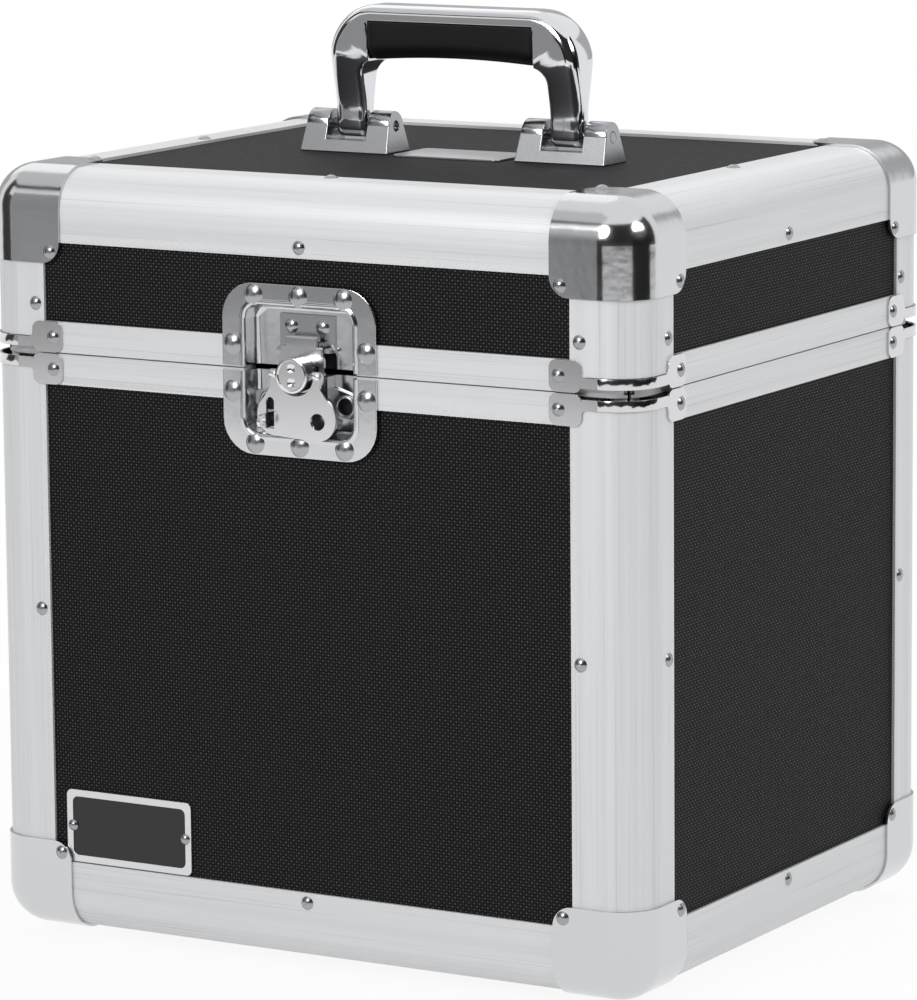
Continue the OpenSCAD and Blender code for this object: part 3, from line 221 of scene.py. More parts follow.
def moulded(name, dark, light, roughness, grain_mm=0.03, level=0.5):
    """Moulded rubber or plastic: a dull skin with a fine spark-eroded grain."""
    made, tree, shader = new_material(name, Roughness=roughness, IOR=1.5, Specular_IOR_Level=level)
    place = add(tree, "ShaderNodeTexCoord")["Object"]
    grain = add(tree, "ShaderNodeTexNoise", {
        "Vector": place, "Scale": GRAINS_PER_METRE, "Detail": 2.0})["Fac"]
    dress(tree, shader, colour=(grain, dark, light), relief=(grain, grain_mm, 0.7))
    return made


def foam_lining():
    """Open-cell polyurethane foam sheet, cut and glued in: matt, dark, with pores of half a millimetre."""
    made, tree, shader = new_material("charcoal_foam", Roughness=0.95, IOR=1.45, Specular_IOR_Level=0.15)
    place = add(tree, "ShaderNodeTexCoord")["Object"]
    cells = add(tree, "ShaderNodeTexVoronoi", {"Vector": place, "Scale": FOAM_CELLS_PER_METRE})["Distance"]
    # The pores are painted darker than the cell walls around them: a painted shade in their hollows.
    dress(tree, shader, colour=(cells, "#1c1c1e", "#3b3b3e"), relief=(cells, FOAM_PORE, 1.0))
    return made


def bare_nameplate():
    """Die-cast plate, left bare: a bright border that stands above a field of black enamel."""
    made, tree, shader = new_material("black_enamelled_plate", Metallic=1.0, Roughness=0.3)
    low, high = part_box("front_nameplate")
    place = add(tree, "ShaderNodeTexCoord")["Object"]
    off = add(tree, "ShaderNodeVectorMath", {0: place, 1: (low + high) / 2}, operation="SUBTRACT")[0]
    out = add(tree, "ShaderNodeVectorMath", {0: off}, operation="ABSOLUTE")[0]
    to_middle = add(tree, "ShaderNodeSeparateXYZ", {0: out})
    axes = add(tree, "ShaderNodeSeparateXYZ", {0: place})
    field = add(tree, "ShaderNodeMath", {
        0: axes["Y"], 1: low.y + PLATE_FIELD_DEPTH}, operation="GREATER_THAN")[0]
    for axis, size in (("X", high.x - low.x), ("Z", high.z - low.z)):
        inside = add(tree, "ShaderNodeMath", {
            0: to_middle[axis], 1: size / 2 - PLATE_BORDER}, operation="LESS_THAN")[0]
        field = add(tree, "ShaderNodeMath", {0: field, 1: inside}, operation="MULTIPLY")[0]
    metal = add(tree, "ShaderNodeMath", {0: 1.0, 1: field}, operation="SUBTRACT")[0]
    tree.links.new(metal, shader.inputs["Metallic"])
    smudge = add(tree, "ShaderNodeTexNoise", {"Vector": place, "Scale": 60.0, "Detail": 3.0})["Fac"]
    dress(tree, shader, colour=(field, "#dcdddf", "#141415"), roughness=(smudge, 0.25, 0.38))
    return made


LAMINATE = black_laminate()
ALUMINIUM_LEVEL = satin_aluminium("anodised_aluminium_level", upright=False)
ALUMINIUM_UPRIGHT = satin_aluminium("anodised_aluminium_upright", upright=True)
CORNER_CHROME = plated("satin_chrome_corner", "#cfd0d2", 0.15, spread=0.05, ripple_mm=0.09)
HANDLE_CHROME = plated("polished_chrome_handle", "#dcdde0", 0.08, spread=0.02)
DISH_CHROME = plated("pressed_chrome_dish", "#d2d3d5", 0.15, spread=0.05, ripple_mm=0.04)
BRACE_NICKEL = plated("nickel_brace", "#d6d6d8", 0.13)
RIVET_NICKEL = plated("nickel_rivet", "#a6a7aa", 0.24)
LATCH_RIVET = plated("chrome_latch_rivet", "#adaeb1", 0.25)
WING_CHROME = plated("nickel_wing", "#e6e6e8", 0.15)
MECHANISM = plated("zinc_mechanism", "#b6b7ba", 0.2)
HOOK_STEEL = plated("zinc_hook", "#c6c7ca", 0.2, ripple_mm=0.03)
HINGE_STEEL = plated("nickel_hinge", "#cccdcf", 0.28)
SCREW_STEEL = plated("zinc_screw", "#a9abae", 0.35)
TOP_PLATE = plated("brushed_top_plate", "#bcbdc0", 0.34)
FOAM = foam_lining()
RUBBER = moulded("foot_rubber", "#111112", "#1d1d1e", 0.7, grain_mm=0.05)
BRACKET = plated("cast_nickel_bracket", "#a6a7aa", 0.2, ripple_mm=0.03)
GRIP = moulded("moulded_grip", "#070708", "#111112", 0.5, level=0.25)
NAMEPLATE = bare_nameplate()

SLOT_MATERIALS = {
    "panel_laminate": LAMINATE,
    "angle_aluminium": ALUMINIUM_LEVEL,
    "ball_corner_chrome": CORNER_CHROME,
    "brace_nickel": BRACE_NICKEL,
    "rivet_nickel": RIVET_NICKEL,
    "latch_rivet_chrome": LATCH_RIVET,
    "latch_dish_chrome": DISH_CHROME,
    "latch_wing_chrome": WING_CHROME,
    "mechanism_steel": MECHANISM,
    "hinge_steel": HINGE_STEEL,
    "lining_foam": FOAM,
    "foot_rubber": RUBBER,
    "screw_steel": SCREW_STEEL,
    "front_plate_metal": NAMEPLATE,
    "top_plate_metal": TOP_PLATE,
    "handle_chrome": HANDLE_CHROME,
    "grip_plastic": GRIP,
}
UPRIGHT_NODES = ("corner_angle_front_left", "corner_angle_front_right", "corner_angle_back_left",
                 "corner_angle_back_right", "lid_corner_angles")


def put_material(piece, material):
    """Every slot of the piece takes the material."""
    if not piece.data.materials:
        piece.data.materials.append(material)
    for index in range(len(piece.data.materials)):
        piece.data.materials[index] = material


NODE_SLOTS = {part["node"]: part["material_slot"] for part in frame["record"]["subparts"]}
for node_name, cad_node in frame["nodes"].items():
    put_material(cad_node, SLOT_MATERIALS[NODE_SLOTS[node_name]])
put_material(frame["nodes"]["handle_brackets"], BRACKET)
for node_name in UPRIGHT_NODES:
    put_material(frame["nodes"][node_name], ALUMINIUM_UPRIGHT)


# ---------------------------------------------------------------- mesh helpers

SHARP = math.radians(32)


def sharpen(mesh):
    """Edges that turn by more than a little stay crisp, and the rest shade smoothly."""
    for edge in mesh.edges:
        edge.smooth = len(edge.link_faces) != 2 or edge.calc_face_angle(0.0) < SHARP
    for face in mesh.faces:
        face.smooth = True


def piece_from(name, mesh, body, material, replaced=()):
    """Makes a bmesh a piece that rides on a body and takes a material."""
    data = bpy.data.meshes.new(name)
    bmesh.ops.remove_doubles(mesh, verts=mesh.verts, dist=0.001 * MM)
    bmesh.ops.recalc_face_normals(mesh, faces=mesh.faces)
    sharpen(mesh)
    mesh.to_mesh(data)
    mesh.free()
    made = bpy.data.objects.new(name, data)
    bpy.context.scene.collection.objects.link(made)
    data.materials.append(material)
    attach(made, body)
    if replaced:
        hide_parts(*replaced)
    return made


def flat_faces(made):
    """Flat faces keep their own normals beside small roundings."""
    split = made.modifiers.new("crisp_edges", "EDGE_SPLIT")
    split.split_angle = SHARP
    even = made.modifiers.new("flat_faces", "WEIGHTED_NORMAL")
    even.keep_sharp = True


def loft(mesh, rings, first_cap=False, last_cap=False):
    """Faces between closed rings of as many points each. Returns the layers of vertices."""
    layers = [[mesh.verts.new(point) for point in ring] for ring in rings]
    count = len(rings[0])
    for low, high in zip(layers, layers[1:]):
        for i in range(count):
            j = (i + 1) % count
            mesh.faces.new((low[i], low[j], high[j], high[i]))
    if first_cap:
        mesh.faces.new(layers[0])
    if last_cap:
        mesh.faces.new(layers[-1])
    return layers


def arc(start, end, steps):
    """Angles in radians from start to end degrees, both ends included."""
    return [math.radians(start + (end - start) * i / steps) for i in range(steps + 1)]


def rounded_ring(half_a, half_b, radius, steps=7):
    """Points of a rectangle about the origin with round corners."""
    points = []
    for turn, (side_a, side_b) in enumerate(((1, 1), (-1, 1), (-1, -1), (1, -1))):
        for angle in arc(90 * turn, 90 * turn + 90, steps):
            points.append((side_a * (half_a - radius) + radius * math.cos(angle),
                           side_b * (half_b - radius) + radius * math.sin(angle)))
    return points


def circle_ring(place, radius, along, turns=64):
    """A circle round a front-to-back axis through place, (x, z)."""
    return [Vector((place[0] + radius * math.cos(a), along, place[1] + radius * math.sin(a)))
            for a in turn_points(turns)]


def lathe(mesh, profile, place):
    """Turns a profile of (radius, y) about the front-to-back axis through place, both in metres."""
    loft(mesh, [circle_ring(place, radius, along) for radius, along in profile], True, True)


def break_edges(piece, width):
    """Rounds the sharp edges of a piece by a width, as tumbling or a file does."""
    edge = piece.modifiers.new("broken_edges", "BEVEL")
    edge.width = width
    edge.segments = 2
    edge.limit_method = "ANGLE"
    edge.angle_limit = SHARP
    return edge


def soften(node, width):
    """Breaks the sharp edges of a CAD node, whose coplanar faces are first joined."""
    piece = frame["nodes"][node]
    weld = piece.modifiers.new("weld", "WELD")
    weld.merge_threshold = 0.002 * MM
    flat = piece.modifiers.new("flat_faces", "DECIMATE")
    flat.decimate_type = "DISSOLVE"
    flat.angle_limit = math.radians(0.4)
    break_edges(piece, width).harden_normals = True


def turn_points(count):
    """Angles in radians all the way round, in so many even steps."""
    return [2 * math.pi * i / count for i in range(count)]


def closed_edges(mesh, verts):
    """Edges that join a ring of vertices."""
    return [mesh.edges.new((a, b)) for a, b in zip(verts, verts[1:] + verts[:1])]


def filled_plate(mesh, loops, shift):
    """A flat plate between loops of points, its outline first, raised by a shift."""
    edges = []
    for loop in loops:
        edges += closed_edges(mesh, [mesh.verts.new(point) for point in loop])
    filled = bmesh.ops.triangle_fill(mesh, use_beauty=True, edges=edges)
    faces = [item for item in filled["geom"] if isinstance(item, bmesh.types.BMFace)]
    raised = bmesh.ops.extrude_face_region(mesh, geom=faces)
    bmesh.ops.translate(mesh, vec=shift,
                        verts=[v for v in raised["geom"] if isinstance(v, bmesh.types.BMVert)])
    bmesh.ops.reverse_faces(mesh, faces=faces)


# ---------------------------------------------------------------- handle

BAIL_LOW, BAIL_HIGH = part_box("handle_bail")
GRIP_LOW, GRIP_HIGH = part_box("handle_grip")
LEG_HALF_DEPTH = PIN_Z - BAIL_LOW.z
LEG_WIDTH = 18 * MM
BAIL_TOP = BAIL_HIGH.z + 1.3 * MM
BAR_UNDER = BAIL_TOP - 8.1 * MM
BAIL_CORNER = 26 * MM       # outside radius, seen from the front
WINDOW_CORNER = 8 * MM      # inside radius under the grip
LEG_ROUNDS = (3.5 * MM, 5.5 * MM)    # roundings of the section at its inside and its outside
BAR_ROUNDS = (0.8 * MM, 6 * MM)
BEND_AT_GRIP = 146          # degrees of the outer bend that face the grip's end; 180 is its foot, 90 the top
BEND_STARTS = 0.3           # share of the inner bend at which the outer one starts
TAPER_FROM = 11 * MM        # height over the pins where the legs start to grow deeper, clear of the brackets
TAPER_OVER = 4 * MM         # height over the grip's underside up to which the legs grow deeper
TAPER_EASE = 0.02           # how softly the growth starts and ends


def bail_half_depth(z):
    """Half of the bail's depth at a height: round about the pin, thin legs, deep beside the grip."""
    over = z - PIN_Z
    if over < 0:
        return math.sqrt(max(LEG_HALF_DEPTH ** 2 - over ** 2, (0.2 * MM) ** 2))
    share = min(max(over - TAPER_FROM, 0) / (GRIP_LOW.z + TAPER_OVER - PIN_Z - TAPER_FROM), 1.0)
    share -= TAPER_EASE * math.sin(2 * math.pi * share)
    return LEG_HALF_DEPTH + share * (BAIL_HIGH.y - LEG_HALF_DEPTH)


def bail_section(inner, outer, inner_round, outer_round, steps=6):
    """A ring round the bail between a point (x, z) on its inside and one on its outside."""
    inner, outer = Vector(inner), Vector(outer)
    length = (outer - inner).length
    along = (outer - inner) / length
    points = []
    for start, radius, centre, side in ((0, outer_round, length - outer_round, -1),
                                        (90, inner_round, inner_round, -1),
                                        (180, inner_round, inner_round, 1),
                                        (270, outer_round, length - outer_round, 1)):
        for angle in arc(start, start + 90, steps):
            place = inner + along * (centre + radius * math.cos(angle))
            half = bail_half_depth(place.y)
            tight = min(radius, half)
            points.append(Vector((place.x, side * (half - tight) - tight * math.sin(angle), place.y)))
    return points


def bail_stations():
    """Inside point, outside point and the two roundings at each station, from the left pin to the right."""
    side, inside = BAIL_LOW.x, BAIL_LOW.x + LEG_WIDTH
    grip_end = GRIP_LOW.x - 0.05 * MM
    bend = (side + BAIL_CORNER, BAIL_TOP - BAIL_CORNER)
    window = (inside + WINDOW_CORNER, GRIP_LOW.z - WINDOW_CORNER)
    made = []
    for angle in arc(-90, 0, 6):
        z = PIN_Z + LEG_HALF_DEPTH * math.sin(angle)
        made.append(((inside, z), (side, z), *LEG_ROUNDS))
    for i in range(1, 9):
        z = PIN_Z + (window[1] - PIN_Z) * i / 8
        made.append(((inside, z), (side, z), *LEG_ROUNDS))
    meet = math.degrees(math.acos((grip_end - window[0]) / WINDOW_CORNER))
    for i, angle in enumerate(arc(180, meet, 8)[1:]):
        share = (i + 1) / 8
        turn = math.radians(180 - (180 - BEND_AT_GRIP) * max(share - BEND_STARTS, 0) / (1 - BEND_STARTS))
        z = window[1] + (bend[1] - window[1]) * min(share / BEND_STARTS, 1)
        outer = (bend[0] + BAIL_CORNER * math.cos(turn), z + BAIL_CORNER * math.sin(turn))
        inner = (window[0] + WINDOW_CORNER * math.cos(angle), window[1] + WINDOW_CORNER * math.sin(angle))
        made.append((inner, outer, *(leg + (bar - leg) * share for leg, bar in zip(LEG_ROUNDS, BAR_ROUNDS))))
    foot = made[-1][0][1]
    for i, angle in enumerate(arc(BEND_AT_GRIP, 90, 10)[1:]):
        inner = (grip_end, foot + (BAR_UNDER - foot) * (i + 1) / 10)
        outer = (bend[0] + BAIL_CORNER * math.cos(angle), bend[1] + BAIL_CORNER * math.sin(angle))
        made.append((inner, outer, *BAR_ROUNDS))
    for share in (0.25, 0.5, 0.75, 1):
        made.append(((grip_end * (1 - share), BAR_UNDER), (bend[0] * (1 - share), BAIL_TOP), *BAR_ROUNDS))
    other = [((-inner[0], inner[1]), (-outer[0], outer[1]), a, b) for inner, outer, a, b in made[-2::-1]]
    return made + other


def chrome_bail():
    """The bail: one chromed casting whose section changes from the pins up to the bar."""
    mesh = bmesh.new()
    loft(mesh, [bail_section(*station) for station in bail_stations()], True, True)
    piece_from("chrome_bail", mesh, "handle", HANDLE_CHROME, ["handle_bail"])


GRIP_RISE = 2 * MM          # how far the grip's underside is arched
GRIP_ROUND = 8 * MM         # its rounding below
GRIP_CHAMFER = (0.4 * MM, 0.5 * MM)    # in from its side and down from its top
GRIP_EASE = {1: 1.2 * MM, 0.985: 0.5 * MM, 0.96: 0.1 * MM}    # how far the ends draw in, by share of length


def black_grip(steps=9):
    """A moulded grip: flat under the bar, well rounded below, its underside arched, its ends eased."""
    mesh = bmesh.new()
    rings = []
    ends = sorted(GRIP_EASE)
    for place in [-end for end in reversed(ends)] + [x / 8 for x in range(-7, 8)] + ends:
        ease = GRIP_EASE.get(abs(place), 0)
        low = GRIP_LOW.z + GRIP_RISE * (1 - place * place) + ease
        deep = GRIP_HIGH.y - ease
        half = [(deep - GRIP_CHAMFER[0], BAR_UNDER), (deep, BAR_UNDER - GRIP_CHAMFER[1])]
        half += [(deep - GRIP_ROUND + GRIP_ROUND * math.cos(a), low + GRIP_ROUND - GRIP_ROUND * math.sin(a))
                 for a in arc(0, 90, steps)]
        section = [(-y, z) for y, z in half] + half[::-1]
        rings.append([Vector((place * GRIP_HIGH.x, y, z)) for y, z in section])
    loft(mesh, rings, True, True)
    piece_from("black_grip", mesh, "handle", GRIP, ["handle_grip"])


BRACKET_W = 50 * MM
BRACKET_LEAN = math.tan(math.radians(5))    # the brackets' sides lean in by this
HOLE_MORE = 0.05 * MM       # radius that the pin's hole has over the pin
UPSET_LENGTH = 1.2 * MM     # the pin's end that is spread to fill its hole
UPSET_SHORT = 0.01 * MM     # the end stops this far inside the bracket's side


def handle_pins_set():
    """The handle's pins, driven in from the inner sides and upset flush in the outer ones."""
    low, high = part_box("handle_pins")
    base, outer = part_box("handle_brackets")[0].z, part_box("handle_brackets")[1].x
    inner = outer - BRACKET_W + (outer - high.x)
    radius = (high.z - low.z) / 2
    y, z = (low.y + high.y) / 2, (low.z + high.z) / 2
    mesh = bmesh.new()
    for side in (-1, 1):
        rings = []
        for short_of_face, r in ((None, radius), (UPSET_LENGTH, radius), (UPSET_LENGTH, radius + HOLE_MORE),
                                 (UPSET_SHORT, radius + HOLE_MORE)):
            ring = []
            for a in turn_points(48):
                place = Vector((0, y + r * math.cos(a), z + r * math.sin(a)))
                face = outer - (place.z - base) * BRACKET_LEAN
                place.x = side * (inner if short_of_face is None else face - short_of_face)
                ring.append(place)
            rings.append(ring)
        loft(mesh, rings, True, True)
    piece_from("handle_pins_set", mesh, "lid", BRACKET, ["handle_pins"])


chrome_bail()
black_grip()


# ---------------------------------------------------------------- latch dish

RECESS = (29.5 * MM, 30.5 * MM, 7 * MM)        # half width, half height and corner radius
FLANGE = (42.5 * MM, 41 * MM, 17 * MM)
# mm of growth and of depth behind the angles' front, from the flange's rim to the edge of the floor
FLANGE_EDGE = ((0, -0.1), (0, -0.75), (-0.12, -1.1), (-0.5, -1.3))
BEAD = ((3.4, -1.3), (2.9, -1.42), (2.5, -1.7), (2.0, -1.95), (1.5, -2.05), (1.0, -1.95), (0.5, -1.6),
        (0.15, -1.0), (0.0, -0.3))
DISH_DEPTH = 8.0            # mm
DRAWN_WALL = ((-0.45, 5.4), (-0.75, 6.6), (-1.4, 7.5), (-2.6, DISH_DEPTH))
DISH_GAP = 2.6 * MM         # between the two halves
DISH_SHEET = 1.2 * MM
HOLLOW_RIVET = (21 * MM, 15.2 * MM, 4.6 * MM)  # distance aside, below the latch's axis, hole radius


def dish_ring(size, grow, depth):
    """A round-cornered ring of the dish, grown by some mm, at a depth in mm behind the angles' front."""
    half_a, half_b, radius = (value + grow * MM for value in size)
    return [Vector((a, FRONT_Y + depth * MM, SEAM_Z + b)) for a, b in rounded_ring(half_a, half_b, radius)]


def drawn_dish(name, node, body, upper):
    """One half of the deep-drawn dish: an eased flange, a rolled bead, drafted walls and a floor."""
    mesh = bmesh.new()
    rings = [dish_ring(size, *step) for size, steps in ((FLANGE, FLANGE_EDGE), (RECESS, BEAD + DRAWN_WALL))
             for step in steps]
    layers = loft(mesh, rings)
    floor_edges = [mesh.edges.get((a, b)) for a, b in zip(layers[-1], layers[-1][1:] + layers[-1][:1])]
    for side in (-1, 1):
        place = (side * HOLLOW_RIVET[0], LATCH_Z - HOLLOW_RIVET[1])
        hole = [mesh.verts.new(p) for p in circle_ring(
            place, HOLLOW_RIVET[2], FRONT_Y + DISH_DEPTH * MM, 32)]
        floor_edges += closed_edges(mesh, hole)
    bmesh.ops.triangle_fill(mesh, use_beauty=True, edges=floor_edges)
    side = 1 if upper else -1
    everything = list(mesh.verts) + list(mesh.edges) + list(mesh.faces)
    bmesh.ops.bisect_plane(mesh, geom=everything, plane_co=(0, 0, SEAM_Z + side * DISH_GAP / 2),
                           plane_no=(0, 0, -side), clear_outer=True)
    made = piece_from(name, mesh, body, DISH_CHROME, [node])
    sheet = made.modifiers.new("sheet", "SOLIDIFY")
    sheet.thickness = DISH_SHEET
    sheet.offset = -1.0
    flat_faces(made)


drawn_dish("drawn_dish_upper", "latch_dish_upper", "lid", True)
drawn_dish("drawn_dish_lower", "latch_dish_lower", "case", False)
handle_pins_set()


# ---------------------------------------------------------------- latch post and padlock eye

POST_LOW, POST_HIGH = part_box("latch_post")
POST_R = 8.5 * MM
POST_FIELD = 7.0 * MM       # radius inside the raised rim
POST_BACK = FRONT_Y + 0.6 * MM
RIM_HEIGHT = 0.5 * MM
THROW = 3 * MM              # of the eccentric
ECCENTRIC_R = 6.3 * MM
ECCENTRIC_BACK = FRONT_Y + 2.8 * MM
SHAFT_R = 3 * MM
DIMPLE_AT, DIMPLE_R, DIMPLE_DEPTH = 3.3 * MM, 1.9 * MM, 0.75 * MM


def turned_post(field_rings=25):
    """The turning post: a head with a raised rim and two pressed dimples, the eccentric and the shaft."""
    mesh = bmesh.new()
    face = POST_LOW.y
    centre = (0, LATCH_Z)
    profile = [(POST_R - 0.4 * MM, POST_BACK), (POST_R, POST_BACK - 0.2 * MM), (POST_R, face + 0.7 * MM),
               (POST_R - 0.2 * MM, face + 0.2 * MM), (POST_R - 0.6 * MM, face),
               (POST_FIELD + 0.4 * MM, face), (POST_FIELD, face + RIM_HEIGHT)]
    rings = [circle_ring(centre, radius, along) for radius, along in profile]
    dimples = [Vector((0, LATCH_Z + side * DIMPLE_AT)) for side in (-1, 1)]
    for i in range(1, field_rings):
        ring = circle_ring(centre, POST_FIELD * (1 - i / field_rings), face + RIM_HEIGHT)
        for point in ring:
            for dimple in dimples:
                off = (Vector((point.x, point.z)) - dimple).length / DIMPLE_R
                if off < 1:
                    point.y += DIMPLE_DEPTH * (1 - off * off) ** 0.5
        rings.append(ring)
    loft(mesh, rings, True, True)
    lathe(mesh, [(ECCENTRIC_R, POST_BACK), (ECCENTRIC_R, ECCENTRIC_BACK)], (0, LATCH_Z - THROW))
    lathe(mesh, [(SHAFT_R, ECCENTRIC_BACK), (SHAFT_R, POST_HIGH.y)], centre)
    flat_faces(piece_from("turned_post", mesh, "post", WING_CHROME, ["latch_post"]))


EYE_BEYOND = 7.6 * MM       # how far the staple stands out of the wing
STAPLE_SHEET = 1.6 * MM
STAPLE_FOOT = 3.8 * MM
STAPLE_STEP = 1.8 * MM      # depth of the foot
PADLOCK_HOLE_R = 2.0 * MM


def padlock_eye():
    """The staple as it really stands: its round end, with a padlock's hole, is through the wing's slot."""
    low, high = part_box("padlock_staple")
    mesh = bmesh.new()
    left = high.x - STAPLE_SHEET
    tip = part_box("latch_wing")[0].y - EYE_BEYOND
    back = high.y
    foot_top = low.z + STAPLE_FOOT
    middle = (low.z + high.z) / 2
    half = (high.z - low.z) / 2
    outline = [(back, low.z), (back, foot_top), (back - STAPLE_STEP, foot_top), (back - STAPLE_STEP, high.z)]
    outline += [(tip + half - half * math.cos(a), middle + half * math.sin(a)) for a in arc(90, -90, 14)]
    hole = [(tip + half + PADLOCK_HOLE_R * math.cos(a), middle + PADLOCK_HOLE_R * math.sin(a))
            for a in turn_points(24)]
    loops = [[Vector((left, y, z)) for y, z in loop] for loop in (outline, hole)]
    filled_plate(mesh, loops, (STAPLE_SHEET, 0, 0))
    for vert in bmesh.ops.create_cube(mesh, size=1.0)["verts"]:
        vert.co = Vector((low.x if vert.co.x < 0 else left, back - STAPLE_SHEET if vert.co.y < 0 else back,
                          low.z if vert.co.z < 0 else foot_top))
    flat_faces(piece_from("padlock_eye", mesh, "case", WING_CHROME, ["padlock_staple"]))


HOOK_SHEET = 1.6 * MM
HOOK_CHAMFER = 1.5 * MM
HOOK_EDGE = 0.3 * MM
NECK_HALF, NECK_CHAMFER = 11.2 * MM, 0.7 * MM
# heights where the hook's plate starts and ends its step to the neck, and its step to the claw
HOOK_STEPS = (LATCH_Z + 7.6 * MM, LATCH_Z + 8.9 * MM, LATCH_Z + 12 * MM, LATCH_Z + 12.6 * MM)
WINDOW_HALF_WIDTH, WINDOW_HALF_HEIGHT = 9.7 * MM, 7.05 * MM
CLAW_ROUND = 1.85 * MM      # outside radius of the claw's curl
CLAW_HALF = 8.5 * MM
CLAW_DEEP = 2.9 * MM        # from the top of the claw to its tip behind the strike's ledge
TOUCH = 0.01 * MM


def pressed_hook():
    """The hook: a plate between its guides, with a window for the eccentric and a claw rolled over."""
    low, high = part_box("latch_hook")
    mesh = bmesh.new()
    front = low.y
    joint = high.z - CLAW_ROUND
    foot, neck, shoulder, claw = HOOK_STEPS
    right = [(high.x - HOOK_CHAMFER, low.z), (high.x, low.z + HOOK_CHAMFER), (high.x, foot),
             (NECK_HALF, neck), (NECK_HALF, shoulder), (NECK_HALF - NECK_CHAMFER, claw),
             (CLAW_HALF, claw), (CLAW_HALF, joint)]
    outline = right + [(-x, z) for x, z in reversed(right)]
    window = [(side * WINDOW_HALF_WIDTH, LATCH_Z - THROW + over * WINDOW_HALF_HEIGHT)
              for side, over in ((-1, -1), (1, -1), (1, 1), (-1, 1))]
    loops = [[Vector((x, front, z)) for x, z in loop] for loop in (outline, window)]
    filled_plate(mesh, loops, (0, HOOK_SHEET, 0))
    inner = CLAW_ROUND - HOOK_SHEET
    middle = front + CLAW_ROUND
    curl = [(middle + CLAW_ROUND * math.cos(a), joint + CLAW_ROUND * math.sin(a)) for a in arc(180, 0, 10)]
    curl += [(middle + CLAW_ROUND, high.z - CLAW_DEEP), (middle + inner, high.z - CLAW_DEEP)]
    curl += [(middle + inner * math.cos(a), joint + inner * math.sin(a)) for a in arc(0, 180, 4)]
    loft(mesh, [[Vector((x, y, z)) for y, z in curl] for x in (-CLAW_HALF, CLAW_HALF)], True, True)
    inside = [face for face in mesh.faces if all(abs(vert.co.z - joint) < TOUCH for vert in face.verts)
              and max(vert.co.y for vert in face.verts) < front + HOOK_SHEET + TOUCH]
    bmesh.ops.delete(mesh, geom=inside, context="FACES_ONLY")
    made = piece_from("pressed_hook", mesh, "hook", HOOK_STEEL, ["latch_hook"])
    break_edges(made, HOOK_EDGE)
    flat_faces(made)


turned_post()
padlock_eye()
pressed_hook()

BROKEN_EDGES = {     # mm
    "latch_wing": 0.3, "latch_strike": 0.5, "latch_base": 0.3, "handle_brackets": 0.7,
    "body_rim_braces": 0.22, "lid_rim_braces": 0.22, "front_nameplate": 0.12, "top_nameplate": 0.2,
    "hinge_leaves_lower": 0.2, "hinge_leaves_upper": 0.2, "rubber_feet": 0.8}
for node_name, width_mm in BROKEN_EDGES.items():
    soften(node_name, width_mm * MM)


# ---------------------------------------------------------------- foam lining

FOAM_EDGE = 2.5 * MM
WALL_FOAM = 8 * MM
FOAM_GAP = 0.3 * MM


def foam_slab(mesh, low, high):
    """A cut slab of foam whose edges are slightly pulled round."""
    size = high - low
    middle = (low + high) / 2
    made = bmesh.ops.create_cube(mesh, size=1.0)["verts"]
    for vert in made:
        vert.co = Vector([v * s for v, s in zip(vert.co, size)]) + middle
    edges = {e for vert in made for e in vert.link_edges}
    bmesh.ops.bevel(mesh, geom=list(edges), offset=FOAM_EDGE, segments=3, affect="EDGES", profile=0.5)


def lining(name, body, node, boxes):
    """The foam slabs of one CAD node as one padded piece."""
    mesh = bmesh.new()
    for low, high in boxes:
        foam_slab(mesh, Vector(low), Vector(high))
    made = piece_from(name, mesh, body, FOAM, [node])


def wall_boxes(node):
    """The four slabs that stand along the walls, inside the box of their CAD node."""
    low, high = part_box(node)
    near, far = low.y + WALL_FOAM + FOAM_GAP, high.y - WALL_FOAM - FOAM_GAP
    return [
        ((low.x, low.y, low.z), (high.x, low.y + WALL_FOAM, high.z)),
        ((low.x, high.y - WALL_FOAM, low.z), (high.x, high.y, high.z)),
        ((low.x, near, low.z), (low.x + WALL_FOAM, far, high.z)),
        ((high.x - WALL_FOAM, near, low.z), (high.x, far, high.z)),
    ]


lining("body_floor_foam", "case", "body_floor_pad", [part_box("body_floor_pad")])
lining("body_wall_foam", "case", "body_wall_pads", wall_boxes("body_wall_pads"))
lining("lid_top_foam", "lid", "lid_top_pad", [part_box("lid_top_pad")])
lining("lid_wall_foam", "lid", "lid_wall_pads", wall_boxes("lid_wall_pads"))


# ---------------------------------------------------------------- studio

def stage_mesh(name, verts, faces, material):
    """A mesh that belongs to the studio and not to the case."""
    data = bpy.data.meshes.new(name)
    data.from_pydata(verts, [], faces)
    made = bpy.data.objects.new(name, data)
    bpy.context.scene.collection.objects.link(made)
    data.materials.append(material)
    return made


WHITE = hex_colour("#ffffff")


def bare_tree(owner):
    """The emptied node tree of a material or a world."""
    owner.use_nodes = True
    owner.node_tree.nodes.clear()
    return owner.node_tree


def background_ray(tree):
    """1 for the rays that should see the white background, and 0 for those that light the case."""
    path = add(tree, "ShaderNodeLightPath")
    seen = path["Is Camera Ray"]
    for kind in ("Is Glossy Ray", "Is Transmission Ray"):
        seen = add(tree, "ShaderNodeMath", {0: seen, 1: path[kind]}, operation="MAXIMUM")[0]
    return seen


FLOOR_HALF = 12.0
WORLD_FILL = 0.3
FLOOR_NEAR, FLOOR_FAR = (0.4, 0.92), (2.0, 1.0)    # metres from the case, and share of pure white there


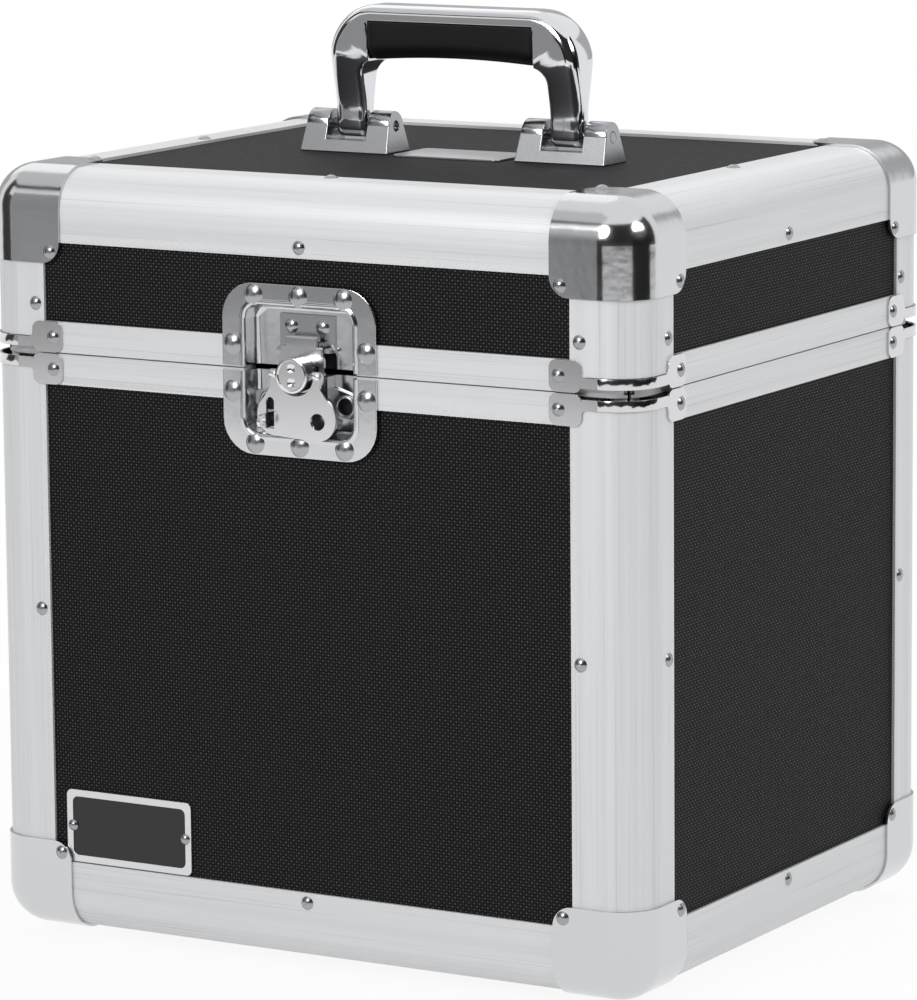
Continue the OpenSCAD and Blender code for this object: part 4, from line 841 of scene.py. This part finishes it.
def pale_floor():
    """A pale paper floor that keeps a soft shadow and runs into the white background."""
    made = bpy.data.materials.new("pale_paper_floor")
    tree = bare_tree(made)
    paper = add(tree, "ShaderNodeBsdfDiffuse", {"Color": hex_colour("#f4f4f4")})[0]
    glow = add(tree, "ShaderNodeEmission", {"Color": WHITE, "Strength": 1.0})[0]
    place = add(tree, "ShaderNodeTexCoord")["Object"]
    away = add(tree, "ShaderNodeVectorMath", {0: place}, operation="LENGTH")["Value"]
    fade = add(tree, "ShaderNodeMapRange", {
        "Value": away, "From Min": FLOOR_NEAR[0], "From Max": FLOOR_FAR[0],
        "To Min": FLOOR_NEAR[1], "To Max": FLOOR_FAR[1]})["Result"]
    share = add(tree, "ShaderNodeMath", {0: background_ray(tree), 1: fade}, operation="MULTIPLY")[0]
    both = add(tree, "ShaderNodeMixShader", {0: share, 1: paper, 2: glow})[0]
    add(tree, "ShaderNodeOutputMaterial", {"Surface": both})
    return made


def studio_world():
    """White for the rays that see it, and a low even fill for the light on the case."""
    world = bpy.data.worlds.new("studio")
    bpy.context.scene.world = world
    tree = bare_tree(world)
    strength = add(tree, "ShaderNodeMapRange", {
        "Value": background_ray(tree), "To Min": WORLD_FILL, "To Max": 1.0})["Result"]
    back = add(tree, "ShaderNodeBackground", {"Color": WHITE, "Strength": strength})[0]
    add(tree, "ShaderNodeOutputWorld", {"Surface": back})


def card_material(level):
    """Studio card of one tone, which only reflections see."""
    made = bpy.data.materials.new("studio_card")
    tree = bare_tree(made)
    tone = add(tree, "ShaderNodeEmission", {"Color": WHITE, "Strength": level})[0]
    add(tree, "ShaderNodeOutputMaterial", {"Surface": tone})
    return made


def direction(azimuth, elevation):
    """Unit vector to a place in the studio; azimuth 0 is the front and 90 the right."""
    a, e = math.radians(azimuth), math.radians(elevation)
    return Vector((math.sin(a) * math.cos(e), -math.cos(a) * math.cos(e), math.sin(e)))


def card(name, radius, azimuths, elevations, material, step=5):
    """A curved card round the case that only glossy rays see."""
    turns = max(1, round((azimuths[1] - azimuths[0]) / step))
    rises = max(1, round((elevations[1] - elevations[0]) / step))
    verts, faces = [], []
    for i in range(turns + 1):
        for j in range(rises + 1):
            azimuth = azimuths[0] + (azimuths[1] - azimuths[0]) * i / turns
            elevation = elevations[0] + (elevations[1] - elevations[0]) * j / rises
            verts.append(MIDDLE + direction(azimuth, elevation) * radius)
    for i in range(turns):
        for j in range(rises):
            at = i * (rises + 1) + j
            faces.append((at, at + 1, at + rises + 2, at + rises + 1))
    made = stage_mesh(name, verts, faces, material)
    for unseen in ("visible_camera", "visible_diffuse", "visible_shadow", "visible_transmission"):
        setattr(made, unseen, False)


def soft_lamp(name, azimuth, elevation, distance, size, watts, shape="DISK", in_reflections=True):
    """A large soft lamp that faces the case."""
    data = bpy.data.lights.new(name, "AREA")
    data.shape = shape
    data.size = size
    data.energy = watts
    made = bpy.data.objects.new(name, data)
    bpy.context.scene.collection.objects.link(made)
    place = MIDDLE + direction(azimuth, elevation) * distance
    made.location = place
    made.rotation_mode = "QUATERNION"
    made.rotation_quaternion = (place - MIDDLE).to_track_quat("Z", "Y")
    made.visible_camera = False
    made.visible_glossy = in_reflections


MIDDLE = Vector((0, 0, LID_TOP / 2))
stage_mesh("floor", [(a * FLOOR_HALF, b * FLOOR_HALF, 0) for a, b in ((-1, -1), (1, -1), (1, 1), (-1, 1))],
           [(0, 1, 2, 3)], pale_floor())
studio_world()
CARDS = (
    # name, distance in metres, azimuths and elevations in degrees, tone from 0, black, to 1, white
    ("room_behind_camera", 2.5, (-12, 125), (-3, 46), 0.03),
    ("grey_wall_left_near", 1.5, (-33.8, -13.5), (-4.5, 31), 0.33),
    ("grey_wall_left_far", 1.5, (-48, -33.8), (-3.5, 31), 0.33),
    ("strip_left", 2.6, (-62, -14), (33, 38), 0.8),
    ("dark_band_over_front", 2.6, (-80, -12), (38, 44), 0.06),
    ("dark_gap_left", 2.6, (-80, -62), (-16, 38), 0.05),
    ("dark_gap_left_near", 1.5, (-78, -49), (-16, 24), 0.05),
    ("flag_left", 1.42, (-18.5, -5), (-16, 14), 0.01),
    ("flag_right", 1.5, (60, 104), (-16, 30), 0.01),
    ("grey_band_over_front", 2.7, (-100, -14), (44, 62), 0.7),
    ("white_box_back_left", 2.5, (-152, -106), (28, 60), 1.3),
    ("wall_behind", 3.0, (152, 262), (4, 28), 0.5),
)
for name, distance, azimuths, elevations, tone in CARDS:
    card(name, distance, azimuths, elevations, card_material(tone))
# name, azimuth and elevation in degrees, distance and size in metres, watts
soft_lamp("round_lamp_left", -9, 29, 2.4, 1.1, 26)
soft_lamp("round_lamp_right", 82, 33, 2.4, 1.1, 20.5)
soft_lamp("top_lamp", 180, 62, 2.2, 1.8, 25.5, shape="SQUARE", in_reflections=False)


# ---------------------------------------------------------------- camera

CAMERA_PLACE = Vector((1.36833, -2.34168, 0.67340))
CAMERA_AZIMUTH = 30.362
CAMERA_ELEVATION = 9.689
CAMERA_ROLL = -0.491
CAMERA_LENS = 199.85      # mm, on a 36 mm sensor across the picture's long side


def make_camera():
    """The camera of the photograph, fitted to the case's straight edges."""
    data = bpy.data.cameras.new("camera")
    data.lens = CAMERA_LENS
    data.sensor_width = 36.0
    data.clip_start = 0.1
    data.clip_end = 60.0
    made = bpy.data.objects.new("camera", data)
    bpy.context.scene.collection.objects.link(made)
    back = direction(CAMERA_AZIMUTH, CAMERA_ELEVATION)
    flat = Vector((math.cos(math.radians(CAMERA_AZIMUTH)), math.sin(math.radians(CAMERA_AZIMUTH)), 0))
    over = back.cross(flat)
    turn = math.radians(CAMERA_ROLL)
    right = flat * math.cos(turn) + over * math.sin(turn)
    up = over * math.cos(turn) - flat * math.sin(turn)
    made.matrix_world = Matrix((
        (right.x, up.x, back.x, CAMERA_PLACE.x),
        (right.y, up.y, back.y, CAMERA_PLACE.y),
        (right.z, up.z, back.z, CAMERA_PLACE.z),
        (0, 0, 0, 1)))
    bpy.context.scene.camera = made


make_camera()
bpy.context.scene.view_settings.view_transform = "Standard"
